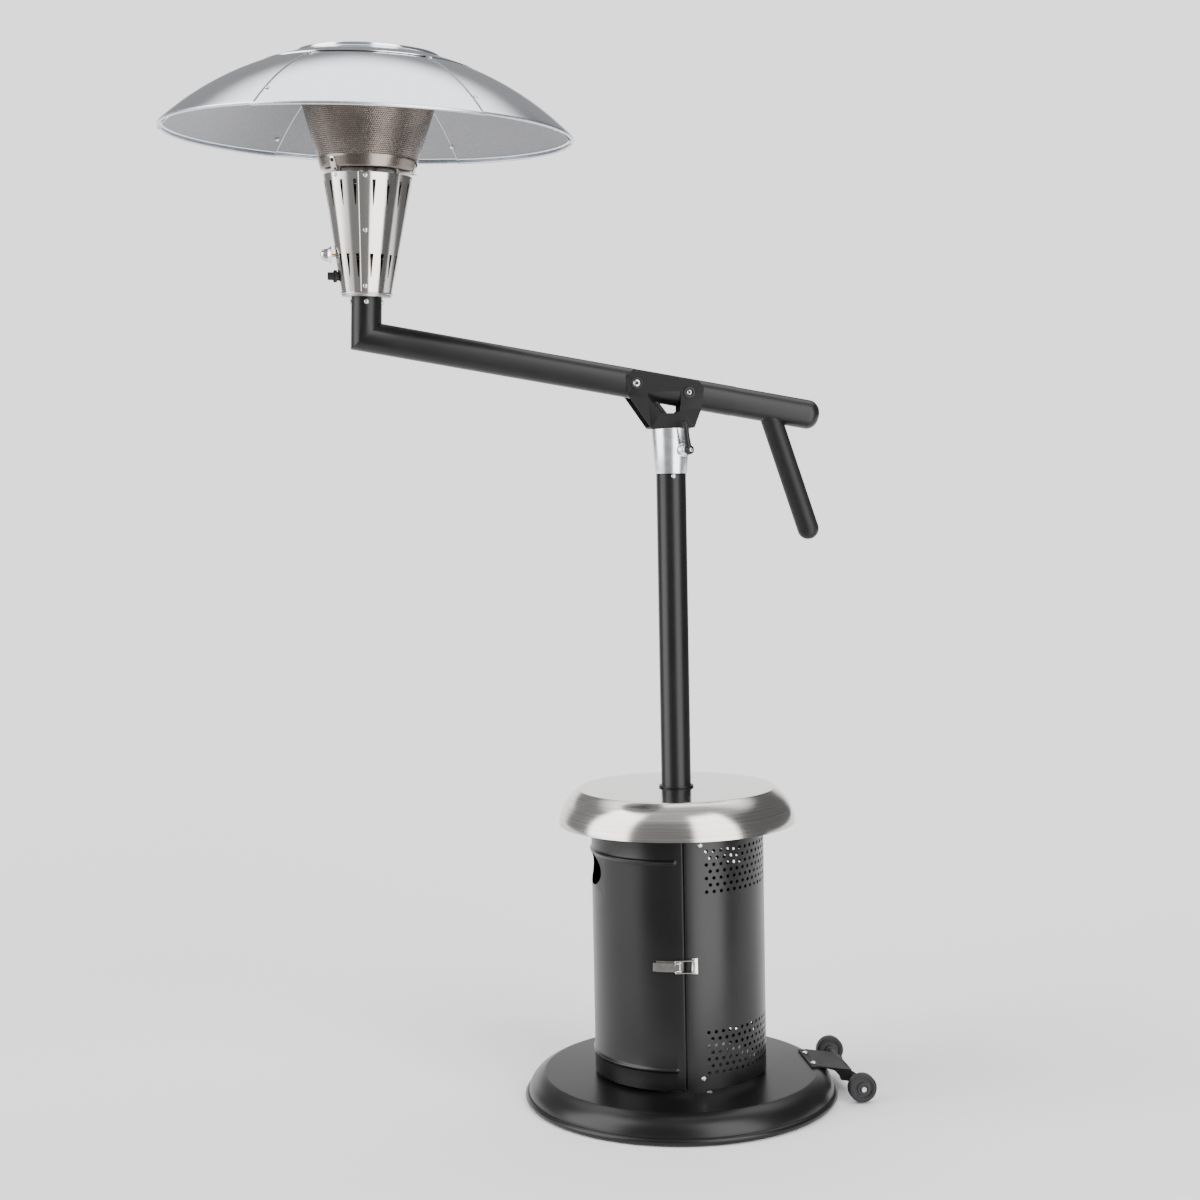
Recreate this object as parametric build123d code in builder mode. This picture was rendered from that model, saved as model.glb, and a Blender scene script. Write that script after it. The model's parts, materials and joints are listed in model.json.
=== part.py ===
"""Offset propane patio heater.

A round weighted base with two transport wheels carries a cylindrical gas
housing with a door, a round steel table and an off-centre post.  A swivel
collar on the post holds a rising arm: the burner head and its dome reflector
hang over the seats on one end, a counterweight and a grab handle on the other.

Frame: millimetres, +Z up, origin on the floor under the middle of the base.
The head reaches out along -X, the wheels are at +X.
"""

import os
from math import atan, cos, degrees, pi, radians, sin, sqrt, tan

from build123d import *

os.makedirs("parts", exist_ok=True)

LOW = (Align.CENTER, Align.CENTER, Align.MIN)
HIGH = (Align.CENTER, Align.CENTER, Align.MAX)

# Base
base_dia = 650.0
base_height = 55.0
base_top_dia = 566.0
base_sheet = 2.0
base_bead_dia = 15.0
base_floor_gap = 1.0
ballast_dia = 584.0
ballast_thickness = 16.0
ballast_chamfer = 4.0
ballast_seat_dia = 372.0
ballast_seat_width = 24.0

# Gas housing
housing_dia = 356.0
housing_sheet = 1.2
housing_bottom = 62.0
door_top = 571.0
panel_top = 624.0
door_half_angle = 83.0
seam_gap = 6.0
seam_lip = 9.0
foot_tab_width = 28.0
foot_tab_angles = (-87.5, 0.0, 87.5)
bead_radius = 4.0
bead_inset = 49.0
bead_end_angle = 5.5
hand_hole_width = 120.0
hand_hole_height = 66.0
hand_hole_drop = 87.0
vent_dia = 7.5
vent_row_pitch = 13.6
vent_column_pitch = 32.0
vent_rows = 7
bottom_vent_row = 96.0
top_vent_row = 542.0
vent_half_angle = 83.0
vent_sides = 6
panel_screw_dia = 5.0
panel_screw_length = 9.0
panel_screw_heights = (85.0, 555.0)
hinge_heights = (150.0, 480.0)
hinge_height = 60.0
hinge_offset = 5.0
hinge_leaf = 20.0
hinge_sheet = 1.4
hinge_pin_dia = 4.0

# Draw latch
latch_height = 313.7
latch_width = 17.0
latch_sheet = 1.5
latch_depth = 7.0
latch_base_length = 58.0
latch_lever_length = 62.0
latch_pivot_offset = 11.0
latch_pivot_out = 5.0
latch_throw = 9.0
latch_pin_dia = 3.0
bail_wire_dia = 2.5
keeper_offset = 19.0
keeper_width = 12.0
keeper_height = 31.0
keeper_lip = 3.6

# Legs and plate inside the housing
leg_dia = 16.0
leg_gap = 0.1
leg_angles = (-85.0, 0.0, 85.0)
leg_foot_width = 34.0
leg_foot_depth = 14.0
leg_foot_thickness = 3.0
top_plate_thickness = 3.0
top_plate_clearance = 0.3
table_ring_dia = 306.0
table_ring_thickness = 3.0

# Table
table_dia = 488.0
table_flat_dia = 404.0
table_height = 645.0
table_depth = 71.0
table_sheet = 1.2
table_shoulder = 12.0

# Post and swivel
post_dia = 57.15
post_wall = 2.0
post_top = 1375.0
post_foot_dia = 130.0
post_foot_thickness = 6.0
post_bolt_circle = 104.0
post_bolt_dia = 8.0
post_bolt_head = 5.0
post_collar_dia = 72.0
post_collar_height = 4.0
bush_wall = 1.9
bush_length = 30.0
running_gap = 0.05
body_gap = 0.3
collar_overhang = 8.0
collar_length = 92.0
collar_bottom_dia = 66.0
collar_top_dia = 79.0
clamp_angle = -58.0
clamp_drop = 45.0
clamp_boss_dia = 28.0
clamp_screw_dia = 10.0
clamp_hub_dia = 17.0
clamp_lever_length = 56.0
clamp_lever_lean = 13.0
stop_screw_dia = 5.0

# Arm
arm_rise = 10.5
arm_clearance = 78.0
arm_reach = 612.0
arm_rear = 90.0
arm_spigot = 42.0
sleeve_length = 225.0
sleeve_dia = 60.0
sleeve_end_radius = 16.0
bracket_plate = 3.0
bracket_gap = 0.4
pivot_bolt_along = 73.6
lock_bolt_along = -35.6
pivot_bolt_dia = 10.0
lock_bolt_dia = 8.0
handle_along = 207.0
handle_lean = 18.2
handle_dia = 44.0
handle_length = 286.0
handle_stud_dia = 20.0

# Gas line
hose_dia = 11.0
hose_bore = 6.0
hose_radii = (38.0, 50.0, 60.0)
hose_first_run = 13.0
hose_entry_along = 44.0
hose_drop = 12.0
grommet_wall = 3.0
grommet_play = 0.5
plug_length = 24.0
inlet_stem_dia = 12.0
regulator_dia = 64.0
regulator_height = 42.0

# Burner head, leaning back to the post and a little to -Y, its heights taken up its own axis from the elbow
head_lean = 2.0
head_side_lean = 3.0
head_pipe_top = 78.0
head_screw_dia = 5.0
head_screw_length = 10.0
head_screw_drop = 10.0
cone_bottom = 84.0
cone_top = 313.0
cone_bottom_dia = 100.7
cone_top_dia = 178.5
cone_sheet = 1.0
cone_lip_dia = 5.0
cone_lap_angle = 12.0
seam_space = 25.0
slot_first = 8.0
upper_slot_bottom = 251.0
upper_slot_top = 299.0
lower_slot_bottom = 114.0
lower_slot_top = 159.0
slot_count = 18
slot_wide = 8.0
slot_narrow = 4.5
emitter_bottom = 323.0
emitter_top = 505.0
emitter_bottom_dia = 184.0
emitter_top_dia = 296.0
emitter_sheet = 1.5
emitter_band = 22.0
emitter_post_dia = 8.0
emitter_flange_dia = 124.0
emitter_tab_angles = (-45.0, 75.0, 195.0)
tab_width = 12.0
burner_plate_height = 305.0
mixer_dia = 38.0
valve_bottom = 135.0
valve_height = 46.0
valve_size = 30.0
valve_bore_depth = 12.0
valve_stem_start = 24.0
knob_height = 158.0
knob_dia = 35.0
knob_length = 22.0
knob_start = 70.0
stem_dia = 6.0
igniter_height = 117.0
igniter_button_dia = 16.0
igniter_body_dia = 24.0
igniter_travel = 5.0
igniter_start = 18.0

# Reflector
reflector_dia = 808.0
reflector_rim_height = 396.0
dome_apex_height = 556.0
petal_sheet = 1.0
petal_lap = 2.1
petal_gap = 0.2
petal_inner_dia = 240.0
rim_bead_dia = 6.0
cap_dia = 424.0
cap_disc_dia = 282.0
cap_sheet = 1.2
cap_step = 6.0
cap_rise = 5.0
petal_first_angle = 30.0
stud_dia = 10.0

# Transport wheels
wheel_dia = 58.0
wheel_width = 22.0
wheel_track = 262.0
wheel_x = 352.0
wheel_z = 32.0
axle_dia = 10.0
wheel_plate = 3.0
cheek_spread = 120.0
hood_length = 18.0
bracket_screw_dia = 6.0
bracket_screw_spread = 70.0

# Heights that follow the top of the post
collar_top = post_top + collar_overhang
collar_bottom = collar_top - collar_length
clamp_height = collar_top - clamp_drop
arm_axis_height = collar_top + arm_clearance

# Reference planes and axes of the arm and the head
arm_slope = radians(arm_rise)
arm_forward = Vector(-cos(arm_slope), 0, sin(arm_slope))
arm_side = Plane(origin=(0, 0, arm_axis_height), x_dir=arm_forward, z_dir=(0, 1, 0))
arm_axis = Axis((0, 0, arm_axis_height), arm_forward)
elbow = Vector(-arm_reach, 0, arm_axis_height + arm_reach * tan(arm_slope))
head_tilt = radians(head_lean)
side_tilt = radians(head_side_lean)
head_across = Vector(cos(head_tilt), 0, -sin(head_tilt))
head_up = Vector(sin(head_tilt) * cos(side_tilt), -sin(side_tilt), cos(head_tilt) * cos(side_tilt))
head_near = head_across.cross(head_up)
head = Plane(origin=elbow, x_dir=head_across, z_dir=head_up)
head_side = Plane(origin=elbow, x_dir=head_across, z_dir=head_near)
head_axis = Axis(elbow, head_up)

dome_rise = dome_apex_height - reflector_rim_height
dome_radius = ((reflector_dia / 2) ** 2 + dome_rise**2) / (2 * dome_rise)


def polar(radius, angle):
    """A point in the ground plane at this radius and angle from the post."""
    return radius * cos(radians(angle)), radius * sin(radians(angle))


def turned_side(angle):
    """The upright half plane that leaves the post at this angle."""
    x, y = polar(1, angle)
    return Plane(origin=(0, 0, 0), x_dir=(x, y, 0), z_dir=(y, -x, 0))


def outward(radius, angle, height):
    """A plane on the housing that faces outward at this angle."""
    x, y = polar(1, angle)
    return Plane(origin=(radius * x, radius * y, height), x_dir=(-y, x, 0), z_dir=(x, y, 0))


def arm_point(along, above):
    """A point of the upright plane through the arm, in X and Z."""
    point = arm_side.from_local_coords((along, above, 0))
    return point.X, point.Z


def turned_head(angle):
    """The plane through the head's axis that faces out at this angle, 0 at -Y and 90 towards the post."""
    turn = Axis((0, 0, 0), head_up)
    return Plane(origin=elbow, x_dir=head_across.rotate(turn, angle), z_dir=head_near.rotate(turn, angle))


def dome_height(radius, raised=0.0):
    """Height above the elbow of the dome's outer surface, or of one raised over it."""
    return dome_apex_height - dome_radius + sqrt((dome_radius + raised) ** 2 - radius**2)


# Base: pressed steel cover over a cast ballast disc
hood_inner_x = base_top_dia / 2 - hood_length
bracket_screw_x = hood_inner_x + hood_length / 2
bracket_screw_planes = [
    Plane(origin=(bracket_screw_x, side * bracket_screw_spread / 2, base_height + wheel_plate), z_dir=(0, 0, 1))
    for side in (-1, 1)
]
base_r = base_dia / 2
base_bead_r = base_bead_dia / 2
bead_x = base_r - base_bead_r
bead_z = base_floor_gap + base_bead_r
skirt_x = (base_top_dia / 2 + bead_x) / 2 + 6
skirt_z = (base_height + bead_z) / 2 + 9
with BuildPart() as base_cover:
    with BuildSketch(Plane.XZ):
        with BuildLine():
            Line((0, base_height), (base_top_dia / 2, base_height))
            ThreePointArc((base_top_dia / 2, base_height), (skirt_x, skirt_z), (bead_x + 1, bead_z))
            Line((bead_x + 1, bead_z), (bead_x + 1 - base_sheet, bead_z))
            ThreePointArc(
                (bead_x + 1 - base_sheet, bead_z),
                (skirt_x - base_sheet, skirt_z - base_sheet),
                (base_top_dia / 2 - base_sheet, base_height - base_sheet),
            )
            Line((base_top_dia / 2 - base_sheet, base_height - base_sheet), (0, base_height - base_sheet))
            Line((0, base_height - base_sheet), (0, base_height))
        make_face()
        with Locations((bead_x, bead_z)):
            Circle(base_bead_r)
    revolve(axis=Axis.Z)
    with BuildSketch(*bracket_screw_planes):
        Circle(bracket_screw_dia / 2 + 0.1)
    extrude(amount=-wheel_plate - base_sheet - 1, mode=Mode.SUBTRACT)
base_cover.part.label = "base_cover"
export_step(base_cover.part, "parts/base_cover.step")

with BuildPart() as ballast:
    Cylinder(ballast_dia / 2, ballast_thickness, align=LOW)
    chamfer(ballast.edges().group_by(Axis.Z)[-1], length=ballast_chamfer)
    with BuildSketch(Plane.XY.offset(ballast_thickness)):
        Circle(ballast_seat_dia / 2)
        Circle(ballast_seat_dia / 2 - ballast_seat_width, mode=Mode.SUBTRACT)
    extrude(amount=base_height - base_sheet - ballast_thickness)
ballast.part.label = "ballast"
export_step(ballast.part, "parts/ballast.step")

# Three legs carry the top plate round the gas cylinder
housing_r = housing_dia / 2
housing_inner_r = housing_r - housing_sheet
panel_screw_planes = [outward(housing_r, a, z) for a in leg_angles for z in panel_screw_heights]
leg_circle = housing_inner_r - leg_gap - leg_dia / 2
plate_z = table_height - table_sheet - 15
leg_length = plate_z - top_plate_thickness - base_height
leg_places = [Location((*polar(leg_circle, angle), 0), (0, 0, angle)) for angle in leg_angles]
with BuildPart(Plane.XY.offset(base_height)) as legs:
    with Locations(*leg_places):
        Box(leg_foot_depth, leg_foot_width, leg_foot_thickness, align=LOW)
        Cylinder(leg_dia / 2, leg_length, align=LOW)
    with BuildSketch(*panel_screw_planes):
        Circle(panel_screw_dia / 2 + 0.05)
    extrude(amount=-panel_screw_length - 1, mode=Mode.SUBTRACT)
legs.part.label = "legs"
export_step(legs.part, "parts/legs.step")

with BuildPart(Plane.XY.offset(plate_z)) as top_plate:
    Cylinder(housing_inner_r - top_plate_clearance, top_plate_thickness, align=HIGH)
    with BuildSketch(Plane.XY.offset(plate_z)):
        Circle(table_ring_dia / 2)
        Circle(table_ring_dia / 2 - table_ring_thickness, mode=Mode.SUBTRACT)
    extrude(amount=table_height - table_sheet - plate_z)
    Cylinder(post_dia / 2 - post_wall, 20, mode=Mode.SUBTRACT)
    with PolarLocations(post_bolt_circle / 2, 3):
        Cylinder(post_bolt_dia / 2 + 0.1, 20, mode=Mode.SUBTRACT)
top_plate.part.label = "top_plate"
export_step(top_plate.part, "parts/top_plate.step")

# Table: one spun sheet with a flat top and a deep rounded shoulder
table_r = table_dia / 2
flat_r = table_flat_dia / 2
rim_z = table_height - table_depth
bend_x = (flat_r + table_r) / 2 + 7
bend_z = (table_height + rim_z) / 2 + 7
hole_r = post_dia / 2 + 0.5
with BuildPart() as table:
    with BuildSketch(Plane.XZ):
        with BuildLine():
            Line((hole_r, table_height), (flat_r, table_height))
            ThreePointArc((flat_r, table_height), (bend_x, bend_z), (table_r, rim_z))
            Line((table_r, rim_z), (table_r - table_sheet, rim_z))
            ThreePointArc(
                (table_r - table_sheet, rim_z),
                (bend_x - table_sheet, bend_z - table_sheet),
                (flat_r - table_sheet / 2, table_height - table_sheet),
            )
            Line((flat_r - table_sheet / 2, table_height - table_sheet), (hole_r, table_height - table_sheet))
            Line((hole_r, table_height - table_sheet), (hole_r, table_height))
        make_face()
    revolve(axis=Axis.Z)
table.part.label = "table"
export_step(table.part, "parts/table.step")

with BuildPart(Plane.XY.offset(table_height)) as post_collar:
    with BuildSketch(Plane.XY.offset(table_height)):
        Circle(post_collar_dia / 2)
        Circle(post_dia / 2, mode=Mode.SUBTRACT)
    extrude(amount=post_collar_height)
    chamfer(post_collar.edges().group_by(Axis.Z)[-1].sort_by(SortBy.RADIUS)[-1], length=1.5)
post_collar.part.label = "post_collar"
export_step(post_collar.part, "parts/post_collar.step")

# Post with its foot plate and three bolts
post_r = post_dia / 2
with BuildPart() as post:
    with BuildSketch(Plane.XY.offset(plate_z)):
        Circle(post_foot_dia / 2)
        with PolarLocations(post_bolt_circle / 2, 3):
            Circle(post_bolt_dia / 2 + 0.1, mode=Mode.SUBTRACT)
    extrude(amount=post_foot_thickness)
    with BuildSketch(Plane.XY.offset(plate_z)):
        Circle(post_r)
    extrude(amount=post_top - plate_z)
    with BuildSketch(Plane.XY.offset(plate_z)):
        Circle(post_r - post_wall)
    extrude(amount=post_top - plate_z, mode=Mode.SUBTRACT)
post.part.label = "post"
export_step(post.part, "parts/post.step")

bolt_seat = Plane.XY.offset(plate_z + post_foot_thickness)
with BuildPart() as post_bolts:
    with BuildSketch(bolt_seat):
        with PolarLocations(post_bolt_circle / 2, 3):
            Circle(post_bolt_dia / 2)
    extrude(amount=-post_foot_thickness - top_plate_thickness)
    with BuildSketch(bolt_seat):
        with PolarLocations(post_bolt_circle / 2, 3):
            RegularPolygon(post_bolt_dia * 0.8, 6, major_radius=False)
    extrude(amount=post_bolt_head)
post_bolts.part.label = "post_bolts"
export_step(post_bolts.part, "parts/post_bolts.step")

# Fixed rear panel: perforated half cylinder on foot tabs
gap_angle = degrees(seam_gap / housing_r)
lip_angle = degrees(housing_sheet / housing_r)
panel_half_angle = 180 - door_half_angle - gap_angle
tab_angle = degrees(foot_tab_width / housing_r)
with BuildPart() as rear_panel:
    with BuildSketch(turned_side(-panel_half_angle)):
        with Locations((housing_inner_r, housing_bottom)):
            Rectangle(housing_sheet, panel_top - housing_bottom, align=Align.MIN)
    revolve(axis=Axis.Z, revolution_arc=2 * panel_half_angle)
    for edge_angle in (-panel_half_angle, panel_half_angle - lip_angle):
        with BuildSketch(turned_side(edge_angle)):
            with Locations((housing_r - seam_lip, housing_bottom)):
                Rectangle(seam_lip - housing_sheet / 2, door_top - housing_bottom, align=Align.MIN)
        revolve(axis=Axis.Z, revolution_arc=lip_angle)
    for tab in foot_tab_angles:
        with BuildSketch(turned_side(tab - tab_angle / 2)):
            with Locations((housing_inner_r, base_height)):
                Rectangle(housing_sheet, housing_bottom - base_height + 1, align=Align.MIN)
        revolve(axis=Axis.Z, revolution_arc=tab_angle)
    column_angle = degrees(vent_column_pitch / housing_r)
    vent_planes = []
    for first_row in (bottom_vent_row, top_vent_row - (vent_rows - 1) * vent_row_pitch):
        for row in range(vent_rows):
            shift = column_angle / 2 * (row % 2)
            columns = int((2 * vent_half_angle - shift) / column_angle) + 1
            for column in range(columns):
                angle = column * column_angle + shift - vent_half_angle
                vent_planes.append(outward(housing_r + 1, angle, first_row + row * vent_row_pitch))
    with BuildSketch(*vent_planes):
        RegularPolygon(vent_dia / 2, vent_sides)
    extrude(amount=-3 * housing_sheet, mode=Mode.SUBTRACT)
    with BuildSketch(*panel_screw_planes):
        Circle(panel_screw_dia / 2 + 0.1)
    extrude(amount=-3 * housing_sheet, both=True, mode=Mode.SUBTRACT)
rear_panel.part.label = "rear_panel"
export_step(rear_panel.part, "parts/rear_panel.step")

with BuildPart() as panel_screws:
    with BuildSketch(*panel_screw_planes):
        Circle(panel_screw_dia / 2)
    extrude(amount=-panel_screw_length)
    with BuildSketch(*panel_screw_planes):
        Circle(panel_screw_dia)
    extrude(amount=2.5)
panel_screws.part.label = "panel_screws"
export_step(panel_screws.part, "parts/panel_screws.step")

# Door: the front half cylinder with two raised beads and a hand hole.  The rolls
# leave its two edges flat from the beads' ends on, and a lip is folded in there.
door_start = 180 - door_half_angle
bead_heights = (housing_bottom + bead_inset - 8, door_top - bead_inset)
bead_start = door_start + bead_end_angle
bead_span = 2 * (door_half_angle - bead_end_angle)
bead_foot = sqrt(bead_radius**2 - housing_sheet**2)
groove_radius = bead_radius - housing_sheet
low_bead, high_bead = bead_heights
with BuildPart() as door:
    with BuildSketch(turned_side(bead_start)):
        with BuildLine():
            Line((housing_r, housing_bottom), (housing_r, low_bead - bead_foot))
            ThreePointArc(
                (housing_r, low_bead - bead_foot),
                (housing_inner_r + bead_radius, low_bead),
                (housing_r, low_bead + bead_foot),
            )
            Line((housing_r, low_bead + bead_foot), (housing_r, high_bead - bead_foot))
            ThreePointArc(
                (housing_r, high_bead - bead_foot),
                (housing_inner_r + bead_radius, high_bead),
                (housing_r, high_bead + bead_foot),
            )
            Line((housing_r, high_bead + bead_foot), (housing_r, door_top))
            Line((housing_r, door_top), (housing_inner_r, door_top))
            Line((housing_inner_r, door_top), (housing_inner_r, high_bead + groove_radius))
            ThreePointArc(
                (housing_inner_r, high_bead + groove_radius),
                (housing_inner_r + groove_radius, high_bead),
                (housing_inner_r, high_bead - groove_radius),
            )
            Line((housing_inner_r, high_bead - groove_radius), (housing_inner_r, low_bead + groove_radius))
            ThreePointArc(
                (housing_inner_r, low_bead + groove_radius),
                (housing_inner_r + groove_radius, low_bead),
                (housing_inner_r, low_bead - groove_radius),
            )
            Line((housing_inner_r, low_bead - groove_radius), (housing_inner_r, housing_bottom))
            Line((housing_inner_r, housing_bottom), (housing_r, housing_bottom))
        make_face()
    revolve(axis=Axis.Z, revolution_arc=bead_span)
    with BuildSketch(Plane.XY.offset(housing_bottom)):
        for inward in (1, -1):
            edge = 180 - inward * door_half_angle
            with BuildLine():
                Polyline(
                    polar(housing_r, edge + inward * bead_end_angle),
                    polar(housing_r, edge),
                    polar(housing_r - seam_lip, edge),
                    polar(housing_r - seam_lip, edge + inward * lip_angle),
                    polar(housing_inner_r, edge + inward * lip_angle),
                    polar(housing_inner_r, edge + inward * bead_end_angle),
                    close=True,
                )
            make_face()
    extrude(amount=door_top - housing_bottom)
    with BuildSketch(outward(housing_r + 5, 180, door_top - hand_hole_drop)):
        Ellipse(hand_hole_width / 2, hand_hole_height / 2)
    extrude(amount=-20, mode=Mode.SUBTRACT)
door.part.label = "door"
export_step(door.part, "parts/door.step")

# Hinges on the far seam: a fixed leaf, a door leaf and a pin, twice
hinge_angle = 180 - door_half_angle - gap_angle / 2
hinge_r = housing_r + hinge_offset
hinge_x, hinge_y = polar(hinge_r, hinge_angle)
leaf_angle = degrees(hinge_leaf / housing_r)
third = hinge_height / 3
with BuildPart() as fixed_leaves:
    for height in hinge_heights:
        with BuildSketch(turned_side(hinge_angle - gap_angle - leaf_angle)):
            with Locations((housing_r, height)):
                Rectangle(hinge_sheet, hinge_height, align=(Align.MIN, Align.CENTER))
        revolve(axis=Axis.Z, revolution_arc=leaf_angle)
        for side in (-third, third):
            with BuildSketch(turned_side(hinge_angle - gap_angle * 1.5)):
                with Locations((housing_r, height + side)):
                    Rectangle(hinge_sheet, third, align=(Align.MIN, Align.CENTER))
            revolve(axis=Axis.Z, revolution_arc=gap_angle * 1.5)
            with BuildSketch(Plane.XY.offset(height + side - third / 2)):
                with Locations((hinge_x, hinge_y)):
                    Circle(hinge_offset - 0.2)
            extrude(amount=third)
            with BuildSketch(Plane.XY.offset(height + side - third / 2 - 1)):
                with Locations((hinge_x, hinge_y)):
                    Circle(hinge_pin_dia / 2)
            extrude(amount=third + 2, mode=Mode.SUBTRACT)
fixed_leaves.part.label = "fixed_leaves"
export_step(fixed_leaves.part, "parts/fixed_leaves.step")

door_knuckle = third - 2 * body_gap
with BuildPart() as door_leaves:
    for height in hinge_heights:
        with BuildSketch(turned_side(hinge_angle + gap_angle)):
            with Locations((housing_r, height)):
                Rectangle(hinge_sheet, hinge_height, align=(Align.MIN, Align.CENTER))
        revolve(axis=Axis.Z, revolution_arc=leaf_angle)
        with BuildSketch(turned_side(hinge_angle)):
            with Locations((housing_r, height)):
                Rectangle(hinge_sheet, door_knuckle, align=(Align.MIN, Align.CENTER))
        revolve(axis=Axis.Z, revolution_arc=gap_angle * 1.5)
        with BuildSketch(Plane.XY.offset(height - door_knuckle / 2)):
            with Locations((hinge_x, hinge_y)):
                Circle(hinge_offset - 0.2)
        extrude(amount=door_knuckle)
        with BuildSketch(Plane.XY.offset(height - third / 2 - 1)):
            with Locations((hinge_x, hinge_y)):
                Circle(hinge_pin_dia / 2 + running_gap)
        extrude(amount=third + 2, mode=Mode.SUBTRACT)
door_leaves.part.label = "door_leaves"
export_step(door_leaves.part, "parts/door_leaves.step")

with BuildPart() as hinge_pins:
    for height in hinge_heights:
        with BuildSketch(Plane.XY.offset(height - hinge_height / 2)):
            with Locations((hinge_x, hinge_y)):
                Circle(hinge_pin_dia / 2)
        extrude(amount=hinge_height)
        with BuildSketch(Plane.XY.offset(height + hinge_height / 2)):
            with Locations((hinge_x, hinge_y)):
                Circle(hinge_pin_dia / 2 + 1)
        extrude(amount=1.5)
hinge_pins.part.label = "hinge_pins"
export_step(hinge_pins.part, "parts/hinge_pins.step")

# Draw latch on the near seam, drawn from above: along the seam's tangent, then outward
seam_angle = -hinge_angle
tangent = Vector(-sin(radians(seam_angle)), cos(radians(seam_angle)), 0)
latch_top = Plane(origin=(*polar(housing_r, seam_angle), latch_height), x_dir=tangent, z_dir=(0, 0, -1))
lever_pivot = (-latch_pivot_offset, latch_pivot_out)
bail_pivot = (-latch_pivot_offset - latch_throw, latch_pivot_out + 1.5)
base_start = seam_angle - degrees(latch_base_length / housing_r)
base_span = degrees((latch_base_length - 4) / housing_r)
with BuildPart() as latch_base:
    with BuildSketch(turned_side(base_start)):
        with Locations((housing_r, latch_height)):
            Rectangle(latch_sheet, latch_width + 5, align=(Align.MIN, Align.CENTER))
    revolve(axis=Axis.Z, revolution_arc=base_span)
    for side in (1, -1):
        with BuildSketch(latch_top.offset(side * (latch_width / 2 + body_gap + latch_sheet / 2))):
            with BuildLine():
                Polyline((-16, 0.6), (-6, 0.6), (-6, 4), (-8, 7.6), (-14, 7.6), (-16, 4), close=True)
            make_face()
        extrude(amount=latch_sheet / 2, both=True)
    with BuildSketch(latch_top):
        with Locations(lever_pivot):
            Circle(latch_pin_dia / 2)
    extrude(amount=latch_width / 2 + body_gap + latch_sheet + 0.5, both=True)
latch_base.part.label = "latch_base"
export_step(latch_base.part, "parts/latch_base.step")

lever_start = seam_angle - degrees(latch_lever_length / housing_r)
lever_span = degrees((latch_lever_length - latch_pivot_offset - 6) / housing_r)
lever_inner_r = housing_r + latch_sheet + 0.8
with BuildPart() as latch_lever:
    with BuildSketch(turned_side(lever_start)):
        with Locations((lever_inner_r, latch_height)):
            Rectangle(latch_depth, latch_width, align=(Align.MIN, Align.CENTER))
            Rectangle(
                latch_depth - latch_sheet,
                latch_width - 2 * latch_sheet,
                align=(Align.MIN, Align.CENTER),
                mode=Mode.SUBTRACT,
            )
    revolve(axis=Axis.Z, revolution_arc=lever_span)
    for side in (1, -1):
        with BuildSketch(latch_top.offset(side * (latch_width - latch_sheet) / 2)):
            with Locations(lever_pivot):
                Circle(latch_pin_dia / 2 + latch_sheet)
            with BuildLine():
                Polyline((-21, 2.1), (-11, 1.9), (-11, 8.1), (-21, 8.3), close=True)
            make_face()
        extrude(amount=latch_sheet / 2, both=True)
    with BuildSketch(latch_top):
        with Locations(lever_pivot):
            Circle(latch_pin_dia / 2 + running_gap)
        with Locations(bail_pivot):
            Circle(bail_wire_dia / 2 + running_gap)
    extrude(amount=latch_width, both=True, mode=Mode.SUBTRACT)
latch_lever.part.label = "latch_lever"
export_step(latch_lever.part, "parts/latch_lever.step")

bail_x, bail_out = bail_pivot
bail_inner = latch_width / 2 - latch_sheet - 0.5
bail_side = latch_width / 2 + body_gap + latch_sheet + 0.7 + bail_wire_dia / 2
bail_end = (keeper_offset, bail_out - 0.6)
with BuildPart() as latch_bail:
    with BuildLine(latch_top) as bail_line:
        FilletPolyline(
            (bail_x, bail_out, bail_inner),
            (bail_x, bail_out, bail_side),
            (*bail_end, bail_side),
            (*bail_end, -bail_side),
            (bail_x, bail_out, -bail_side),
            (bail_x, bail_out, -bail_inner),
            radius=bail_wire_dia,
        )
    with BuildSketch(Plane(origin=bail_line.line @ 0, z_dir=bail_line.line % 0)):
        Circle(bail_wire_dia / 2)
    sweep()
latch_bail.part.label = "latch_bail"
export_step(latch_bail.part, "parts/latch_bail.step")

keeper_start = seam_angle + degrees((keeper_offset - keeper_width / 2) / housing_r)
keeper_span = degrees(keeper_width / housing_r)
with BuildPart() as latch_keeper:
    with BuildSketch(turned_side(keeper_start)):
        with Locations((housing_r, latch_height)):
            Rectangle(latch_sheet, keeper_height, align=(Align.MIN, Align.CENTER))
        with Locations((housing_r, latch_height)):
            Rectangle(keeper_lip, latch_width, align=(Align.MIN, Align.CENTER))
    revolve(axis=Axis.Z, revolution_arc=keeper_span / 4)
    with BuildSketch(turned_side(keeper_start)):
        with Locations((housing_r, latch_height)):
            Rectangle(latch_sheet, keeper_height, align=(Align.MIN, Align.CENTER))
    revolve(axis=Axis.Z, revolution_arc=keeper_span)
    for side in (-1, 1):
        rivet_height = latch_height + side * (keeper_height / 2 - 4)
        with BuildSketch(outward(housing_r + latch_sheet - 0.2, keeper_start + keeper_span / 2, rivet_height)):
            Circle(2.5)
        extrude(amount=1.4)
latch_keeper.part.label = "latch_keeper"
export_step(latch_keeper.part, "parts/latch_keeper.step")

# Gas inlet under the post: plug, regulator and the hose that climbs the post
plug_r = post_r - post_wall
with BuildPart(Plane.XY.offset(plate_z - top_plate_thickness)) as inlet_plug:
    Cylinder(post_foot_dia / 2 - 20, 3, align=HIGH)
    Cylinder(plug_r - 0.1, plug_length, align=LOW)
    Cylinder(inlet_stem_dia / 2, 3 * plug_length, mode=Mode.SUBTRACT)
inlet_plug.part.label = "inlet_plug"
export_step(inlet_plug.part, "parts/inlet_plug.step")

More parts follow.
